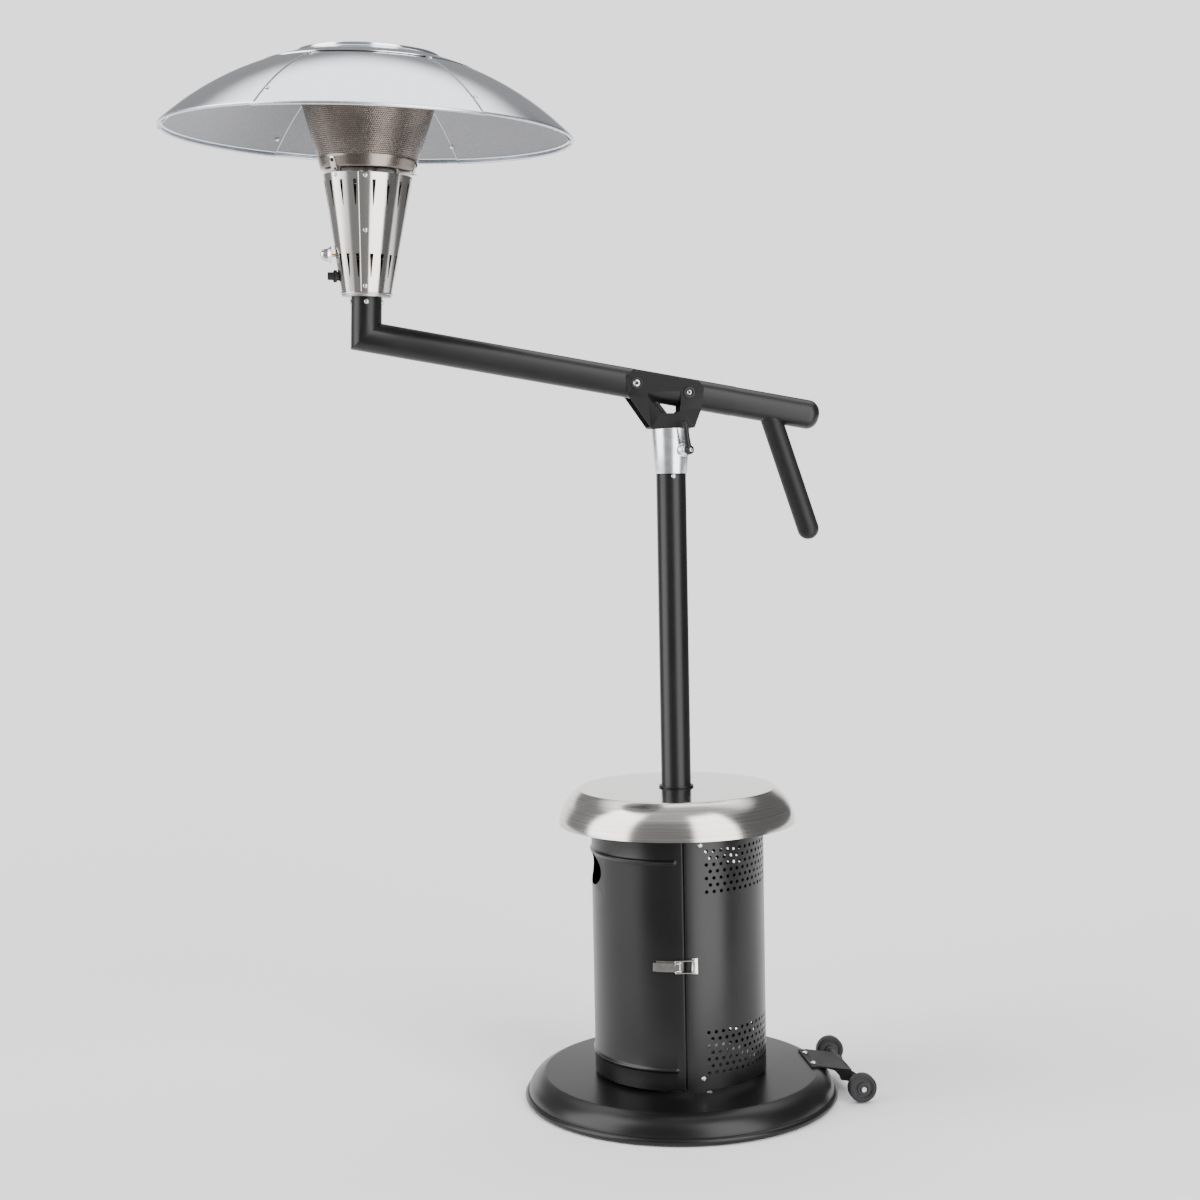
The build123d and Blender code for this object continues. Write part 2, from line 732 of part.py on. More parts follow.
plug_top = plate_z - top_plate_thickness + plug_length
regulator_top = plate_z - top_plate_thickness - 3
with BuildPart() as regulator:
    with BuildSketch(Plane.XZ):
        with BuildLine():
            Polyline(
                (0, plug_top),
                (inlet_stem_dia / 2, plug_top),
                (inlet_stem_dia / 2, regulator_top),
                (inlet_stem_dia, regulator_top),
                (inlet_stem_dia, regulator_top - 8),
                (regulator_dia / 2 - 12, regulator_top - 12),
                (regulator_dia / 2, regulator_top - 20),
                (regulator_dia / 2, regulator_top - 26),
                (regulator_dia / 2 - 12, regulator_top - regulator_height),
                (0, regulator_top - regulator_height),
                (0, plug_top),
            )
        make_face()
    revolve(axis=Axis.Z)
    with BuildSketch(Plane.YZ.offset(-regulator_dia / 2 - 14)):
        with Locations((0, regulator_top - 23)):
            RegularPolygon(9, 6, major_radius=False)
    extrude(amount=16)
    with BuildSketch(Plane.YZ.offset(-regulator_dia / 2 - 15)):
        with Locations((0, regulator_top - 23)):
            Circle(4)
    extrude(amount=20, mode=Mode.SUBTRACT)
regulator.part.label = "regulator"
export_step(regulator.part, "parts/regulator.step")

swivel_hose_z = collar_top + 1.0
with BuildPart() as post_hose:
    with BuildSketch(Plane.XY.offset(plug_top)):
        Circle(hose_dia / 2)
        Circle(hose_bore / 2, mode=Mode.SUBTRACT)
    extrude(amount=swivel_hose_z - body_gap - plug_top)
post_hose.part.label = "post_hose"
export_step(post_hose.part, "parts/post_hose.step")

# Swivel: two bushes on the post, the clamped collar and the lever that locks it
bush_r = post_r + bush_wall
with BuildPart() as bushes:
    for height in (collar_bottom + 1, post_top - bush_length):
        with BuildSketch(Plane.XY.offset(height)):
            Circle(bush_r)
            Circle(post_r, mode=Mode.SUBTRACT)
        extrude(amount=bush_length)
    with BuildSketch(Plane.XY.offset(post_top)):
        Circle(bush_r)
        Circle(hose_dia / 2 + 3, mode=Mode.SUBTRACT)
    extrude(amount=collar_top - body_gap - post_top)
bushes.part.label = "bushes"
export_step(bushes.part, "parts/bushes.step")

stop_z = collar_bottom - body_gap - stop_screw_dia
with BuildPart() as stop_screws:
    for angle in (-90, 90):
        with BuildSketch(outward(post_r, angle, stop_z)):
            Circle(stop_screw_dia)
        extrude(amount=3.0)
stop_screws.part.label = "stop_screws"
export_step(stop_screws.part, "parts/stop_screws.step")

boss_r = collar_top_dia / 2 + 7
with BuildPart() as collar:
    with BuildSketch(Plane.XZ):
        with BuildLine():
            Polyline(
                (0, collar_bottom),
                (collar_bottom_dia / 2, collar_bottom),
                (collar_top_dia / 2, collar_top),
                (0, collar_top),
                close=True,
            )
        make_face()
    revolve(axis=Axis.Z)
    with BuildSketch(outward(0, clamp_angle, clamp_height)):
        Circle(clamp_boss_dia / 2)
    extrude(amount=boss_r)
    with BuildSketch(Plane.XY.offset(collar_bottom - 1)):
        Circle(bush_r + running_gap)
    extrude(amount=collar_top - collar_bottom + 2, mode=Mode.SUBTRACT)
    with BuildSketch(outward(0, clamp_angle, clamp_height)):
        Circle(clamp_screw_dia / 2 + running_gap)
    extrude(amount=boss_r + 1, mode=Mode.SUBTRACT)
collar.part.label = "collar"
export_step(collar.part, "parts/collar.step")

lever_face = outward(boss_r + body_gap, clamp_angle, clamp_height)
with BuildPart() as clamp_lever:
    with BuildSketch(outward(post_r + body_gap, clamp_angle, clamp_height)):
        Circle(clamp_screw_dia / 2)
    extrude(amount=boss_r - post_r + 1)
    with BuildSketch(lever_face):
        Circle(clamp_hub_dia / 2)
    extrude(amount=16)
    hub_end = clamp_lever.faces().sort_by(Axis(lever_face.origin, lever_face.z_dir))[-1]
    fillet(hub_end.edges(), radius=2)
    arm_tip = Vector(0, clamp_lever_length).rotate(Axis.Z, clamp_lever_lean)
    with BuildSketch(lever_face.offset(6)):
        with BuildLine():
            Polyline(
                arm_tip + Vector(-5, 0),
                Vector(-7, 0),
                Vector(7, 0),
                arm_tip + Vector(5, 0),
                close=True,
            )
        make_face()
        with Locations(arm_tip):
            Circle(5.2)
    extrude(amount=8)
clamp_lever.part.label = "clamp_lever"
export_step(clamp_lever.part, "parts/clamp_lever.step")

# Arm bracket: a folded U that is welded on the collar and bolted through the arm
arm_r = post_dia / 2
web_z = collar_top
plate_inner = arm_r + bracket_gap
bracket_outline = [
    arm_point(98, 12),
    arm_point(85, 26),
    arm_point(-52, 26),
    arm_point(-64, 14),
    arm_point(-66, -27),
    (45, web_z),
    (-44, web_z),
    arm_point(87, -27),
]
window_top = arm_axis_height - 4
window_low = web_z + 30
bracket_window = [
    (-50, window_top),
    (17, window_top),
    (17, window_low + 6),
    (9, window_low),
    (-24, window_low),
    (-50, window_top - 12),
]
with BuildPart() as bracket:
    with BuildSketch(Plane.XZ):
        with BuildLine():
            Polyline(*bracket_outline, close=True)
        make_face()
        fillet(vertices(), radius=4)
    extrude(amount=plate_inner + bracket_plate, both=True)
    with BuildSketch(Plane.XZ):
        with BuildLine():
            Polyline(
                (-200, web_z + bracket_plate),
                (200, web_z + bracket_plate),
                (200, arm_axis_height + 150),
                (-200, arm_axis_height + 150),
                close=True,
            )
        make_face()
    extrude(amount=plate_inner, both=True, mode=Mode.SUBTRACT)
    with BuildSketch(Plane.XZ):
        with BuildLine():
            Polyline(*bracket_window, close=True)
        make_face()
        fillet(vertices(), radius=4)
    extrude(amount=100, both=True, mode=Mode.SUBTRACT)
    with BuildSketch(Plane.XY.offset(web_z - 1)):
        Circle(hose_dia / 2 + 5)
    extrude(amount=bracket_plate + 2, mode=Mode.SUBTRACT)
    with BuildSketch(arm_side):
        with Locations((pivot_bolt_along, 0)):
            Circle(pivot_bolt_dia / 2 + 0.1)
        with Locations((lock_bolt_along, 0)):
            Circle(lock_bolt_dia / 2 + 0.1)
    extrude(amount=100, both=True, mode=Mode.SUBTRACT)
bracket.part.label = "bracket"
export_step(bracket.part, "parts/bracket.step")

bolt_reach = plate_inner + bracket_plate
with BuildPart() as arm_bolts:
    for along, size in ((pivot_bolt_along, pivot_bolt_dia), (lock_bolt_along, lock_bolt_dia)):
        with BuildSketch(arm_side):
            with Locations((along, 0)):
                Circle(size / 2)
        extrude(amount=bolt_reach + 1, both=True)
        with BuildSketch(arm_side.offset(-bolt_reach)):
            with Locations((along, 0)):
                Circle(size * 0.8)
                RegularPolygon(size * 0.3, 6, mode=Mode.SUBTRACT)
        extrude(amount=-size * 0.55)
        with BuildSketch(arm_side.offset(bolt_reach)):
            with Locations((along, 0)):
                RegularPolygon(size * 0.8, 6, major_radius=False)
        extrude(amount=size * 0.8)
arm_bolts.part.label = "arm_bolts"
export_step(arm_bolts.part, "parts/arm_bolts.step")

# Arm: one tube with a mitred elbow that turns up into the head pipe
arm_wall = post_wall
head_screw_planes = []
for angle in (0, 90, 180, 270):
    screw_plane = turned_head(angle).offset(arm_r)
    screw_plane.origin = screw_plane.origin + head_up * (head_pipe_top - head_screw_drop)
    head_screw_planes.append(screw_plane)
arm_start = arm_axis.position - arm_forward * (arm_rear + arm_spigot)
arm_end = elbow + head_up * head_pipe_top
hose_start = Vector(0, 0, swivel_hose_z)
hose_rise = hose_start + Vector(0, 0, hose_first_run)
hose_in_arm = Vector(*arm_side.from_local_coords((hose_entry_along, -hose_drop, 0)))
hose_turn = elbow - head_up * (hose_drop / cos(arm_slope + head_tilt))
grommet_dir = (hose_in_arm - hose_rise).normalized()
grommet_z = arm_axis_height - arm_r / cos(arm_slope) + 7
grommet_at = hose_rise + grommet_dir * ((grommet_z - hose_rise.Z) / grommet_dir.Z)
grommet_plane = Plane(origin=grommet_at, x_dir=(0, 1, 0), z_dir=grommet_dir)
grommet_r = hose_dia / 2 + grommet_wall
with BuildPart() as arm_tube:
    with BuildLine() as arm_line:
        Polyline(arm_start, elbow, arm_end)
    with BuildSketch(Plane(origin=arm_start, x_dir=(0, 1, 0), z_dir=arm_forward)):
        Circle(arm_r)
        Circle(arm_r - arm_wall, mode=Mode.SUBTRACT)
    sweep(transition=Transition.RIGHT)
    with BuildSketch(arm_side):
        with Locations((pivot_bolt_along, 0)):
            Circle(pivot_bolt_dia / 2 + 0.1)
        with Locations((lock_bolt_along, 0)):
            Circle(lock_bolt_dia / 2 + 0.1)
    extrude(amount=100, both=True, mode=Mode.SUBTRACT)
    with BuildSketch(grommet_plane.offset(-20)):
        Circle(grommet_r)
    extrude(amount=32, mode=Mode.SUBTRACT)
    with BuildSketch(*head_screw_planes):
        Circle(head_screw_dia / 2 + 0.1)
    extrude(amount=-10, mode=Mode.SUBTRACT)
arm_tube.part.label = "arm_tube"
export_step(arm_tube.part, "parts/arm_tube.step")

with BuildPart() as grommet:
    with BuildSketch(grommet_plane.offset(-8)):
        Circle(grommet_r + 3)
    extrude(amount=8)
    with BuildSketch(Plane(origin=arm_start, x_dir=(0, 1, 0), z_dir=arm_forward)):
        Circle(arm_r)
    extrude(amount=400, mode=Mode.SUBTRACT)
    with BuildSketch(grommet_plane.offset(-6)):
        Circle(grommet_r)
    extrude(amount=16)
    with BuildSketch(grommet_plane.offset(-20)):
        Circle(hose_dia / 2 + grommet_play)
    extrude(amount=50, mode=Mode.SUBTRACT)
grommet.part.label = "grommet"
export_step(grommet.part, "parts/grommet.step")

# Rear sleeve over the end of the arm, the counterweight in it, and the grab handle
sleeve_r = sleeve_dia / 2
sleeve_end = arm_rear + sleeve_length
with BuildPart() as sleeve:
    with BuildSketch(arm_side):
        with BuildLine():
            Line((-arm_rear, 0), (-arm_rear, sleeve_r))
            Line((-arm_rear, sleeve_r), (-sleeve_end + sleeve_end_radius, sleeve_r))
            RadiusArc(
                (-sleeve_end + sleeve_end_radius, sleeve_r),
                (-sleeve_end, sleeve_r - sleeve_end_radius),
                -sleeve_end_radius,
            )
            Line((-sleeve_end, sleeve_r - sleeve_end_radius), (-sleeve_end, 0))
            Line((-sleeve_end, 0), (-arm_rear, 0))
        make_face()
    revolve(axis=arm_axis)
    with BuildSketch(Plane(origin=arm_axis.position - arm_forward * (arm_rear - 1), x_dir=(0, 1, 0), z_dir=-arm_forward)):
        Circle(arm_r + 0.02)
    extrude(amount=sleeve_length - sleeve_end_radius - 1, mode=Mode.SUBTRACT)
sleeve.part.label = "sleeve"
export_step(sleeve.part, "parts/sleeve.step")

weight_start = arm_rear + arm_spigot + 1
with BuildPart() as counterweight:
    with BuildSketch(Plane(origin=arm_axis.position - arm_forward * weight_start, x_dir=(0, 1, 0), z_dir=-arm_forward)):
        Circle(arm_r - 0.05)
    extrude(amount=sleeve_length - arm_spigot - sleeve_end_radius - 4)
counterweight.part.label = "counterweight"
export_step(counterweight.part, "parts/counterweight.step")

handle_root = arm_axis.position - arm_forward * handle_along
handle_dir = Vector(sin(radians(handle_lean)), 0, -cos(radians(handle_lean)))
handle_plane = Plane(origin=handle_root, x_dir=(0, 1, 0), z_dir=handle_dir)
handle_side = Plane(origin=handle_root, x_dir=handle_dir, z_dir=(0, 1, 0))
handle_axis = Axis(handle_root, handle_dir)
handle_r = handle_dia / 2
with BuildPart() as handle_stud:
    with BuildSketch(handle_plane):
        Circle(handle_stud_dia / 2)
    extrude(amount=handle_length - handle_r)
    with BuildSketch(Plane(origin=arm_axis.position - arm_forward * arm_rear, x_dir=(0, 1, 0), z_dir=-arm_forward)):
        Circle(sleeve_r)
    extrude(amount=sleeve_length, mode=Mode.SUBTRACT)
handle_stud.part.label = "handle_stud"
export_step(handle_stud.part, "parts/handle_stud.step")

with BuildPart() as handle_grip:
    with BuildSketch(handle_side):
        with BuildLine():
            Line((0, 0), (0, handle_r))
            Line((0, handle_r), (handle_length - handle_r, handle_r))
            RadiusArc((handle_length - handle_r, handle_r), (handle_length, 0), handle_r)
            Line((handle_length, 0), (0, 0))
        make_face()
    revolve(axis=handle_axis)
    with BuildSketch(Plane(origin=arm_axis.position - arm_forward * arm_rear, x_dir=(0, 1, 0), z_dir=-arm_forward)):
        Circle(sleeve_r)
    extrude(amount=sleeve_length, mode=Mode.SUBTRACT)
    with BuildSketch(handle_plane):
        Circle(handle_stud_dia / 2)
    extrude(amount=handle_length - handle_r, mode=Mode.SUBTRACT)
handle_grip.part.label = "handle_grip"
export_step(handle_grip.part, "parts/handle_grip.step")

# Burner head
base_plug_r = arm_r - arm_wall - 0.05
cone_bottom_r = cone_bottom_dia / 2
cone_top_r = cone_top_dia / 2
cone_taper = (cone_top_r - cone_bottom_r) / (cone_top - cone_bottom)
with BuildPart() as burner_base:
    with BuildSketch(head_side):
        with BuildLine():
            Polyline(
                (hose_dia / 2 + 1, head_pipe_top - 28),
                (base_plug_r, head_pipe_top - 28),
                (base_plug_r, head_pipe_top),
                (cone_bottom_r - 1.6, head_pipe_top),
                (cone_bottom_r - 1.2, cone_bottom + 6),
                (hose_dia / 2 + 1, cone_bottom + 6),
                close=True,
            )
        make_face()
    revolve(axis=head_axis)
    with BuildSketch(*head_screw_planes):
        Circle(head_screw_dia / 2)
    extrude(amount=-head_screw_length - 1, mode=Mode.SUBTRACT)
burner_base.part.label = "burner_base"
export_step(burner_base.part, "parts/burner_base.step")


with BuildPart() as head_screws:
    with BuildSketch(*head_screw_planes):
        Circle(head_screw_dia / 2)
    extrude(amount=-head_screw_length)
    with BuildSketch(*head_screw_planes):
        Circle(head_screw_dia * 0.9)
    extrude(amount=2.5)
head_screws.part.label = "head_screws"
export_step(head_screws.part, "parts/head_screws.step")


def cone_r(height):
    """Outer radius of the cone housing at this height."""
    return cone_bottom_r + cone_taper * (height - cone_bottom)


def slot_corners(low, high):
    """Corners of one tapered slot, wider at its top."""
    return [(-slot_narrow / 2, low), (slot_narrow / 2, low), (slot_wide / 2, high), (-slot_wide / 2, high)]


slot_pitch = (360 - seam_space) / (slot_count - 1)
slot_angles = [slot_first + slot_pitch * step for step in range(slot_count)]
upper_planes = [turned_head(angle) for angle in slot_angles]
lower_planes = [turned_head(angle) for angle in slot_angles if abs(angle - 270) > slot_pitch / 2]
knob_at = elbow + head_up * knob_height
knob_plane = Plane(origin=knob_at, x_dir=(0, 1, 0), z_dir=-head_across)
knob_side = Plane(origin=knob_at, x_dir=-head_across, z_dir=(0, 1, 0))
knob_axis = Axis(knob_at, -head_across)
igniter_at = elbow + head_up * igniter_height
igniter_plane = Plane(origin=igniter_at, x_dir=(0, 1, 0), z_dir=-head_across)
igniter_side = Plane(origin=igniter_at, x_dir=-head_across, z_dir=(0, 1, 0))
igniter_axis = Axis(igniter_at, -head_across)
igniter_thread_r = igniter_body_dia / 2 - 3
with BuildPart() as cone:
    with BuildSketch(head_side):
        with BuildLine():
            Polyline(
                (cone_bottom_r, cone_bottom),
                (cone_top_r, cone_top),
                (cone_top_r - cone_sheet, cone_top),
                (cone_bottom_r - cone_sheet, cone_bottom),
                close=True,
            )
        make_face()
        with Locations((cone_bottom_r + cone_lip_dia / 2 - cone_sheet, cone_bottom)):
            Circle(cone_lip_dia / 2)
    revolve(axis=head_axis)
    with BuildSketch(turned_head(slot_first - seam_space / 2 - cone_lap_angle / 2 - 90)):
        with BuildLine():
            Polyline(
                (cone_bottom_r - 0.5, cone_bottom),
                (cone_bottom_r + cone_sheet, cone_bottom),
                (cone_top_r + cone_sheet, cone_top),
                (cone_top_r - 0.5, cone_top),
                close=True,
            )
        make_face()
    revolve(axis=head_axis, revolution_arc=cone_lap_angle)
    with BuildSketch(*upper_planes):
        with BuildLine():
            Polyline(*slot_corners(upper_slot_bottom, upper_slot_top), close=True)
        make_face()
    extrude(amount=cone_top_r + 5, mode=Mode.SUBTRACT)
    with BuildSketch(*lower_planes):
        with BuildLine():
            Polyline(*slot_corners(lower_slot_bottom, lower_slot_top), close=True)
        make_face()
    extrude(amount=cone_top_r + 5, mode=Mode.SUBTRACT)
    with BuildSketch(knob_plane):
        Circle(stem_dia / 2 + 1)
    extrude(amount=cone_top_r, mode=Mode.SUBTRACT)
    with BuildSketch(igniter_plane):
        Circle(igniter_thread_r + 0.1)
    extrude(amount=cone_top_r, mode=Mode.SUBTRACT)
cone.part.label = "cone"
export_step(cone.part, "parts/cone.step")

# Valve, knob and igniter on the side away from the post
with BuildPart(head.offset(cone_bottom + 6)) as valve:
    Cylinder(9, valve_bottom - cone_bottom - 6, align=LOW)
    Cylinder(hose_dia / 2 + 0.1, valve_bore_depth, align=LOW, mode=Mode.SUBTRACT)
    with BuildSketch(head.offset(valve_bottom)):
        Rectangle(valve_size, valve_size)
    extrude(amount=valve_height)
    with BuildSketch(knob_plane):
        Circle(stem_dia / 2 + 4)
    extrude(amount=valve_stem_start)
    with BuildSketch(head.offset(valve_bottom + valve_height)):
        Circle(5)
    extrude(amount=8)
    with BuildSketch(knob_plane.offset(4)):
        Circle(stem_dia / 2 + running_gap)
    extrude(amount=40, mode=Mode.SUBTRACT)
valve.part.label = "valve"
export_step(valve.part, "parts/valve.step")

knob_r = knob_dia / 2
knob_flat_r = 3.0
with BuildPart() as knob:
    with BuildSketch(knob_side):
        with BuildLine():
            Polyline(
                (valve_stem_start - 9, 0),
                (valve_stem_start - 9, stem_dia / 2),
                (knob_start, stem_dia / 2),
                (knob_start, knob_r),
                (knob_start + 2.5, knob_r),
                (knob_start + 7, knob_r - 2.5),
            )
            ThreePointArc(
                (knob_start + 7, knob_r - 2.5),
                (knob_start + knob_length - 4.5, knob_r * 0.6),
                (knob_start + knob_length, knob_flat_r),
            )
            Polyline(
                (knob_start + knob_length, knob_flat_r),
                (knob_start + knob_length, 0),
                (valve_stem_start - 9, 0),
            )
        make_face()
    revolve(axis=knob_axis)
knob.part.label = "knob"
export_step(knob.part, "parts/knob.step")

button_r = igniter_button_dia / 2
nut_start = cone_r(igniter_height) + 2.5
button_end = nut_start + 19
with BuildPart() as igniter_body:
    with BuildSketch(igniter_side):
        with BuildLine():
            Polyline(
                (igniter_start, 0),
                (igniter_start, igniter_thread_r),
                (nut_start, igniter_thread_r),
                (nut_start, igniter_body_dia / 2),
                (nut_start + 7, igniter_body_dia / 2),
                (nut_start + 8, button_r + 1),
                (nut_start + 8, button_r + running_gap),
                (nut_start - 6, button_r + running_gap),
                (nut_start - 6, 0),
                close=True,
            )
        make_face()
    revolve(axis=igniter_axis)
igniter_body.part.label = "igniter_body"
export_step(igniter_body.part, "parts/igniter_body.step")

with BuildPart(igniter_plane.offset(nut_start - 6 + igniter_travel + 0.5)) as igniter_button:
    Cylinder(button_r, button_end - nut_start + 6 - igniter_travel, align=LOW)
    fillet(igniter_button.edges().sort_by(igniter_axis)[-1], radius=1.5)
igniter_button.part.label = "igniter_button"
export_step(igniter_button.part, "parts/igniter_button.step")

# Gas hose in the arm: out of the collar, through the grommet, round the elbow to the valve
valve_seat = elbow + head_up * (cone_bottom + 6 + valve_bore_depth)
upper_points = [hose_start, hose_rise, hose_in_arm, hose_turn, valve_seat]
with BuildPart() as arm_hose:
    with BuildLine() as hose_line:
        FilletPolyline(*upper_points, radius=hose_radii)
    with BuildSketch(Plane(origin=hose_line.line @ 0, z_dir=hose_line.line % 0)):
        Circle(hose_dia / 2)
        Circle(hose_bore / 2, mode=Mode.SUBTRACT)
    sweep()
arm_hose.part.label = "arm_hose"
export_step(arm_hose.part, "parts/arm_hose.step")
hose_section = pi * (hose_dia**2 - hose_bore**2) / 4
hose_length = sum(edge.length for edge in hose_line.edges())
print("hose radii", hose_radii, "volume over section times length", arm_hose.part.volume / (hose_section * hose_length))

# Burner and emitter
plate_r = cone_r(burner_plate_height) - cone_sheet - 0.3
with BuildPart(head.offset(burner_plate_height)) as burner_plate:
    Cylinder(plate_r, 2, align=LOW)
    Cylinder(mixer_dia / 2, 10, mode=Mode.SUBTRACT)
    with PolarLocations(plate_r - 28, 6):
        Cylinder(10, 10, mode=Mode.SUBTRACT)
    with PolarLocations(plate_r - 7, 4, start_angle=45):
        Cylinder(emitter_post_dia / 2, emitter_bottom - burner_plate_height, align=LOW)
burner_plate.part.label = "burner_plate"
export_step(burner_plate.part, "parts/burner_plate.step")

mixer_r = mixer_dia / 2
mixer_bottom = valve_bottom + valve_height + 6
with BuildPart() as mixer_tube:
    with BuildSketch(head_side):
        with BuildLine():
            Polyline(
                (mixer_r + 6, mixer_bottom),
                (mixer_r - 3, mixer_bottom + 18),
                (mixer_r - 3, mixer_bottom + 40),
                (mixer_r, mixer_bottom + 80),
                (mixer_r, emitter_bottom + emitter_sheet + 4),
                (mixer_r - 1.5, emitter_bottom + emitter_sheet + 4),
                (mixer_r - 1.5, mixer_bottom + 80),
                (mixer_r - 4.5, mixer_bottom + 40),
                (mixer_r - 4.5, mixer_bottom + 18),
                (mixer_r + 4.5, mixer_bottom),
                close=True,
            )
        make_face()
    revolve(axis=head_axis)
mixer_tube.part.label = "mixer_tube"
export_step(mixer_tube.part, "parts/mixer_tube.step")

burner_z = emitter_bottom + emitter_sheet
burner_r = emitter_flange_dia / 2
with BuildPart() as burner:
    with BuildSketch(head_side):
        with BuildLine():
            Polyline(
                (mixer_r, burner_z),
                (burner_r + 8, burner_z),
                (burner_r + 8, burner_z + 1.5),
                (burner_r - 6, burner_z + 1.5),
                (burner_r - 6, burner_z + 24),
            )
            Line((burner_r - 6, burner_z + 24), (0, burner_z + 34))
            Line((0, burner_z + 34), (0, burner_z + 32.5))
            Line((0, burner_z + 32.5), (burner_r - 7.5, burner_z + 22.8))
            Polyline((burner_r - 7.5, burner_z + 22.8), (burner_r - 7.5, burner_z + 1.5), (mixer_r, burner_z + 1.5), (mixer_r, burner_z))
        make_face()
    revolve(axis=head_axis)
burner.part.label = "burner"
export_step(burner.part, "parts/burner.step")

with BuildPart(head.offset(burner_z + 1.5)) as pilot_set:
    with Locations((burner_r + 1, 0)):
        Box(8, 30, 1.5, align=LOW)
        with Locations((0, -9, 0), (0, 0, 0), (0, 9, 0)):
            Cylinder(2, 28, align=LOW)
pilot_set.part.label = "pilot_set"
export_step(pilot_set.part, "parts/pilot_set.step")

emitter_low_r = emitter_bottom_dia / 2
emitter_high_r = emitter_top_dia / 2
with BuildPart() as emitter:
    with BuildSketch(head_side):
        with BuildLine():
            Polyline(
                (burner_r, emitter_bottom),
                (emitter_low_r, emitter_bottom),
                (emitter_high_r, emitter_top),
                (emitter_high_r - 18, emitter_top),
                (emitter_high_r - 18, emitter_top - emitter_sheet),
                (emitter_high_r - emitter_sheet - 0.5, emitter_top - emitter_sheet),
                (emitter_low_r - emitter_sheet, emitter_bottom + emitter_sheet),
                (burner_r, emitter_bottom + emitter_sheet),
                close=True,
            )
        make_face()
    revolve(axis=head_axis)
emitter.part.label = "emitter"
export_step(emitter.part, "parts/emitter.step")

emitter_slope = atan((emitter_high_r - emitter_low_r) / (emitter_top - emitter_bottom))
tab_planes = []
for angle in emitter_tab_angles:
    facing = turned_head(angle)
    outward_dir = facing.z_dir * cos(emitter_slope) - head_up * sin(emitter_slope)
    tab_origin = elbow + head_up * emitter_bottom + facing.z_dir * emitter_low_r + outward_dir * 0.05
    tab_planes.append(Plane(origin=tab_origin, x_dir=facing.x_dir, z_dir=outward_dir))
with BuildPart() as emitter_tabs:
    with BuildSketch(*tab_planes):
        with Locations((0, emitter_band / 2 - 4)):
            RectangleRounded(tab_width, emitter_band + 6, 2)
        with Locations((0, -1)):
            Circle(2.5, mode=Mode.SUBTRACT)
    extrude(amount=1.5)
emitter_tabs.part.label = "emitter_tabs"
export_step(emitter_tabs.part, "parts/emitter_tabs.step")

# Dome reflector: six lapped petals clamped between a hub disc and a stepped cap
reflector_r = reflector_dia / 2
petal_inner_r = petal_inner_dia / 2
lapped_span = 60 + petal_lap
rim_span = 60 - petal_gap
lap_r = reflector_r - rim_bead_dia


def petal_section(raised, angle, start, end):
    """Section of one petal's sheet between two radii, at this angle round the head."""
    low = raised - petal_sheet
    middle = (start + end) / 2
    with BuildSketch(turned_head(angle)) as section:
        with BuildLine():
            ThreePointArc(
                (start, dome_height(start, raised)),
                (middle, dome_height(middle, raised)),
                (end, dome_height(end, raised)),
            )
            Line((end, dome_height(end, raised)), (end, dome_height(end, low)))
            ThreePointArc(
                (end, dome_height(end, low)),
                (middle, dome_height(middle, low)),
                (start, dome_height(start, low)),
            )
            Line((start, dome_height(start, low)), (start, dome_height(start, raised)))
        make_face()
    return section.sketch


def rim_section(angle):
    """Section of the rolled bead on a petal's rim."""
    with BuildSketch(turned_head(angle)) as section:
        with Locations((reflector_r - 0.5, reflector_rim_height - 0.8)):
            Circle(rim_bead_dia / 2)
    return section.sketch


with BuildPart() as under_petals:
    for turn in (0, 120, 240):
        first = petal_first_angle + turn
        revolve(
            petal_section(0.0, first - lapped_span / 2, petal_inner_r, lap_r),
            axis=head_axis,
            revolution_arc=lapped_span,
        )
        revolve(
            petal_section(0.0, first - rim_span / 2, lap_r, reflector_r),
            axis=head_axis,
            revolution_arc=rim_span,
        )
        revolve(rim_section(first - rim_span / 2), axis=head_axis, revolution_arc=rim_span)
under_petals.part.label = "under_petals"
export_step(under_petals.part, "parts/under_petals.step")

with BuildPart() as over_petals:
    for turn in (60, 180, 300):
        first = petal_first_angle + turn
        revolve(
            petal_section(petal_sheet, first - lapped_span / 2, petal_inner_r, lap_r),
            axis=head_axis,
            revolution_arc=lapped_span,
        )
        revolve(
            petal_section(petal_sheet, first - rim_span / 2, lap_r, reflector_r),
            axis=head_axis,
            revolution_arc=rim_span,
        )
        revolve(rim_section(first - rim_span / 2), axis=head_axis, revolution_arc=rim_span)
over_petals.part.label = "over_petals"
export_step(over_petals.part, "parts/over_petals.step")

hub_r = cap_disc_dia / 2
hub_top = -petal_sheet
hub_low = hub_top - cap_sheet
with BuildPart() as dome_hub:
    with BuildSketch(head_side):
        with BuildLine():
            ThreePointArc(
                (0, dome_height(0, hub_top)),
                (hub_r / 2, dome_height(hub_r / 2, hub_top)),
                (hub_r, dome_height(hub_r, hub_top)),
            )
            Line((hub_r, dome_height(hub_r, hub_top)), (hub_r, dome_height(hub_r, hub_low)))
            ThreePointArc(
                (hub_r, dome_height(hub_r, hub_low)),
                (hub_r / 2, dome_height(hub_r / 2, hub_low)),
                (0, dome_height(0, hub_low)),
            )
            Line((0, dome_height(0, hub_low)), (0, dome_height(0, hub_top)))
        make_face()
    revolve(axis=head_axis)
    with BuildSketch(head.offset(emitter_top)):
        Circle(stud_dia / 2 + 0.1)
    extrude(amount=dome_apex_height - emitter_top + 40, mode=Mode.SUBTRACT)
dome_hub.part.label = "dome_hub"
export_step(dome_hub.part, "parts/dome_hub.step")

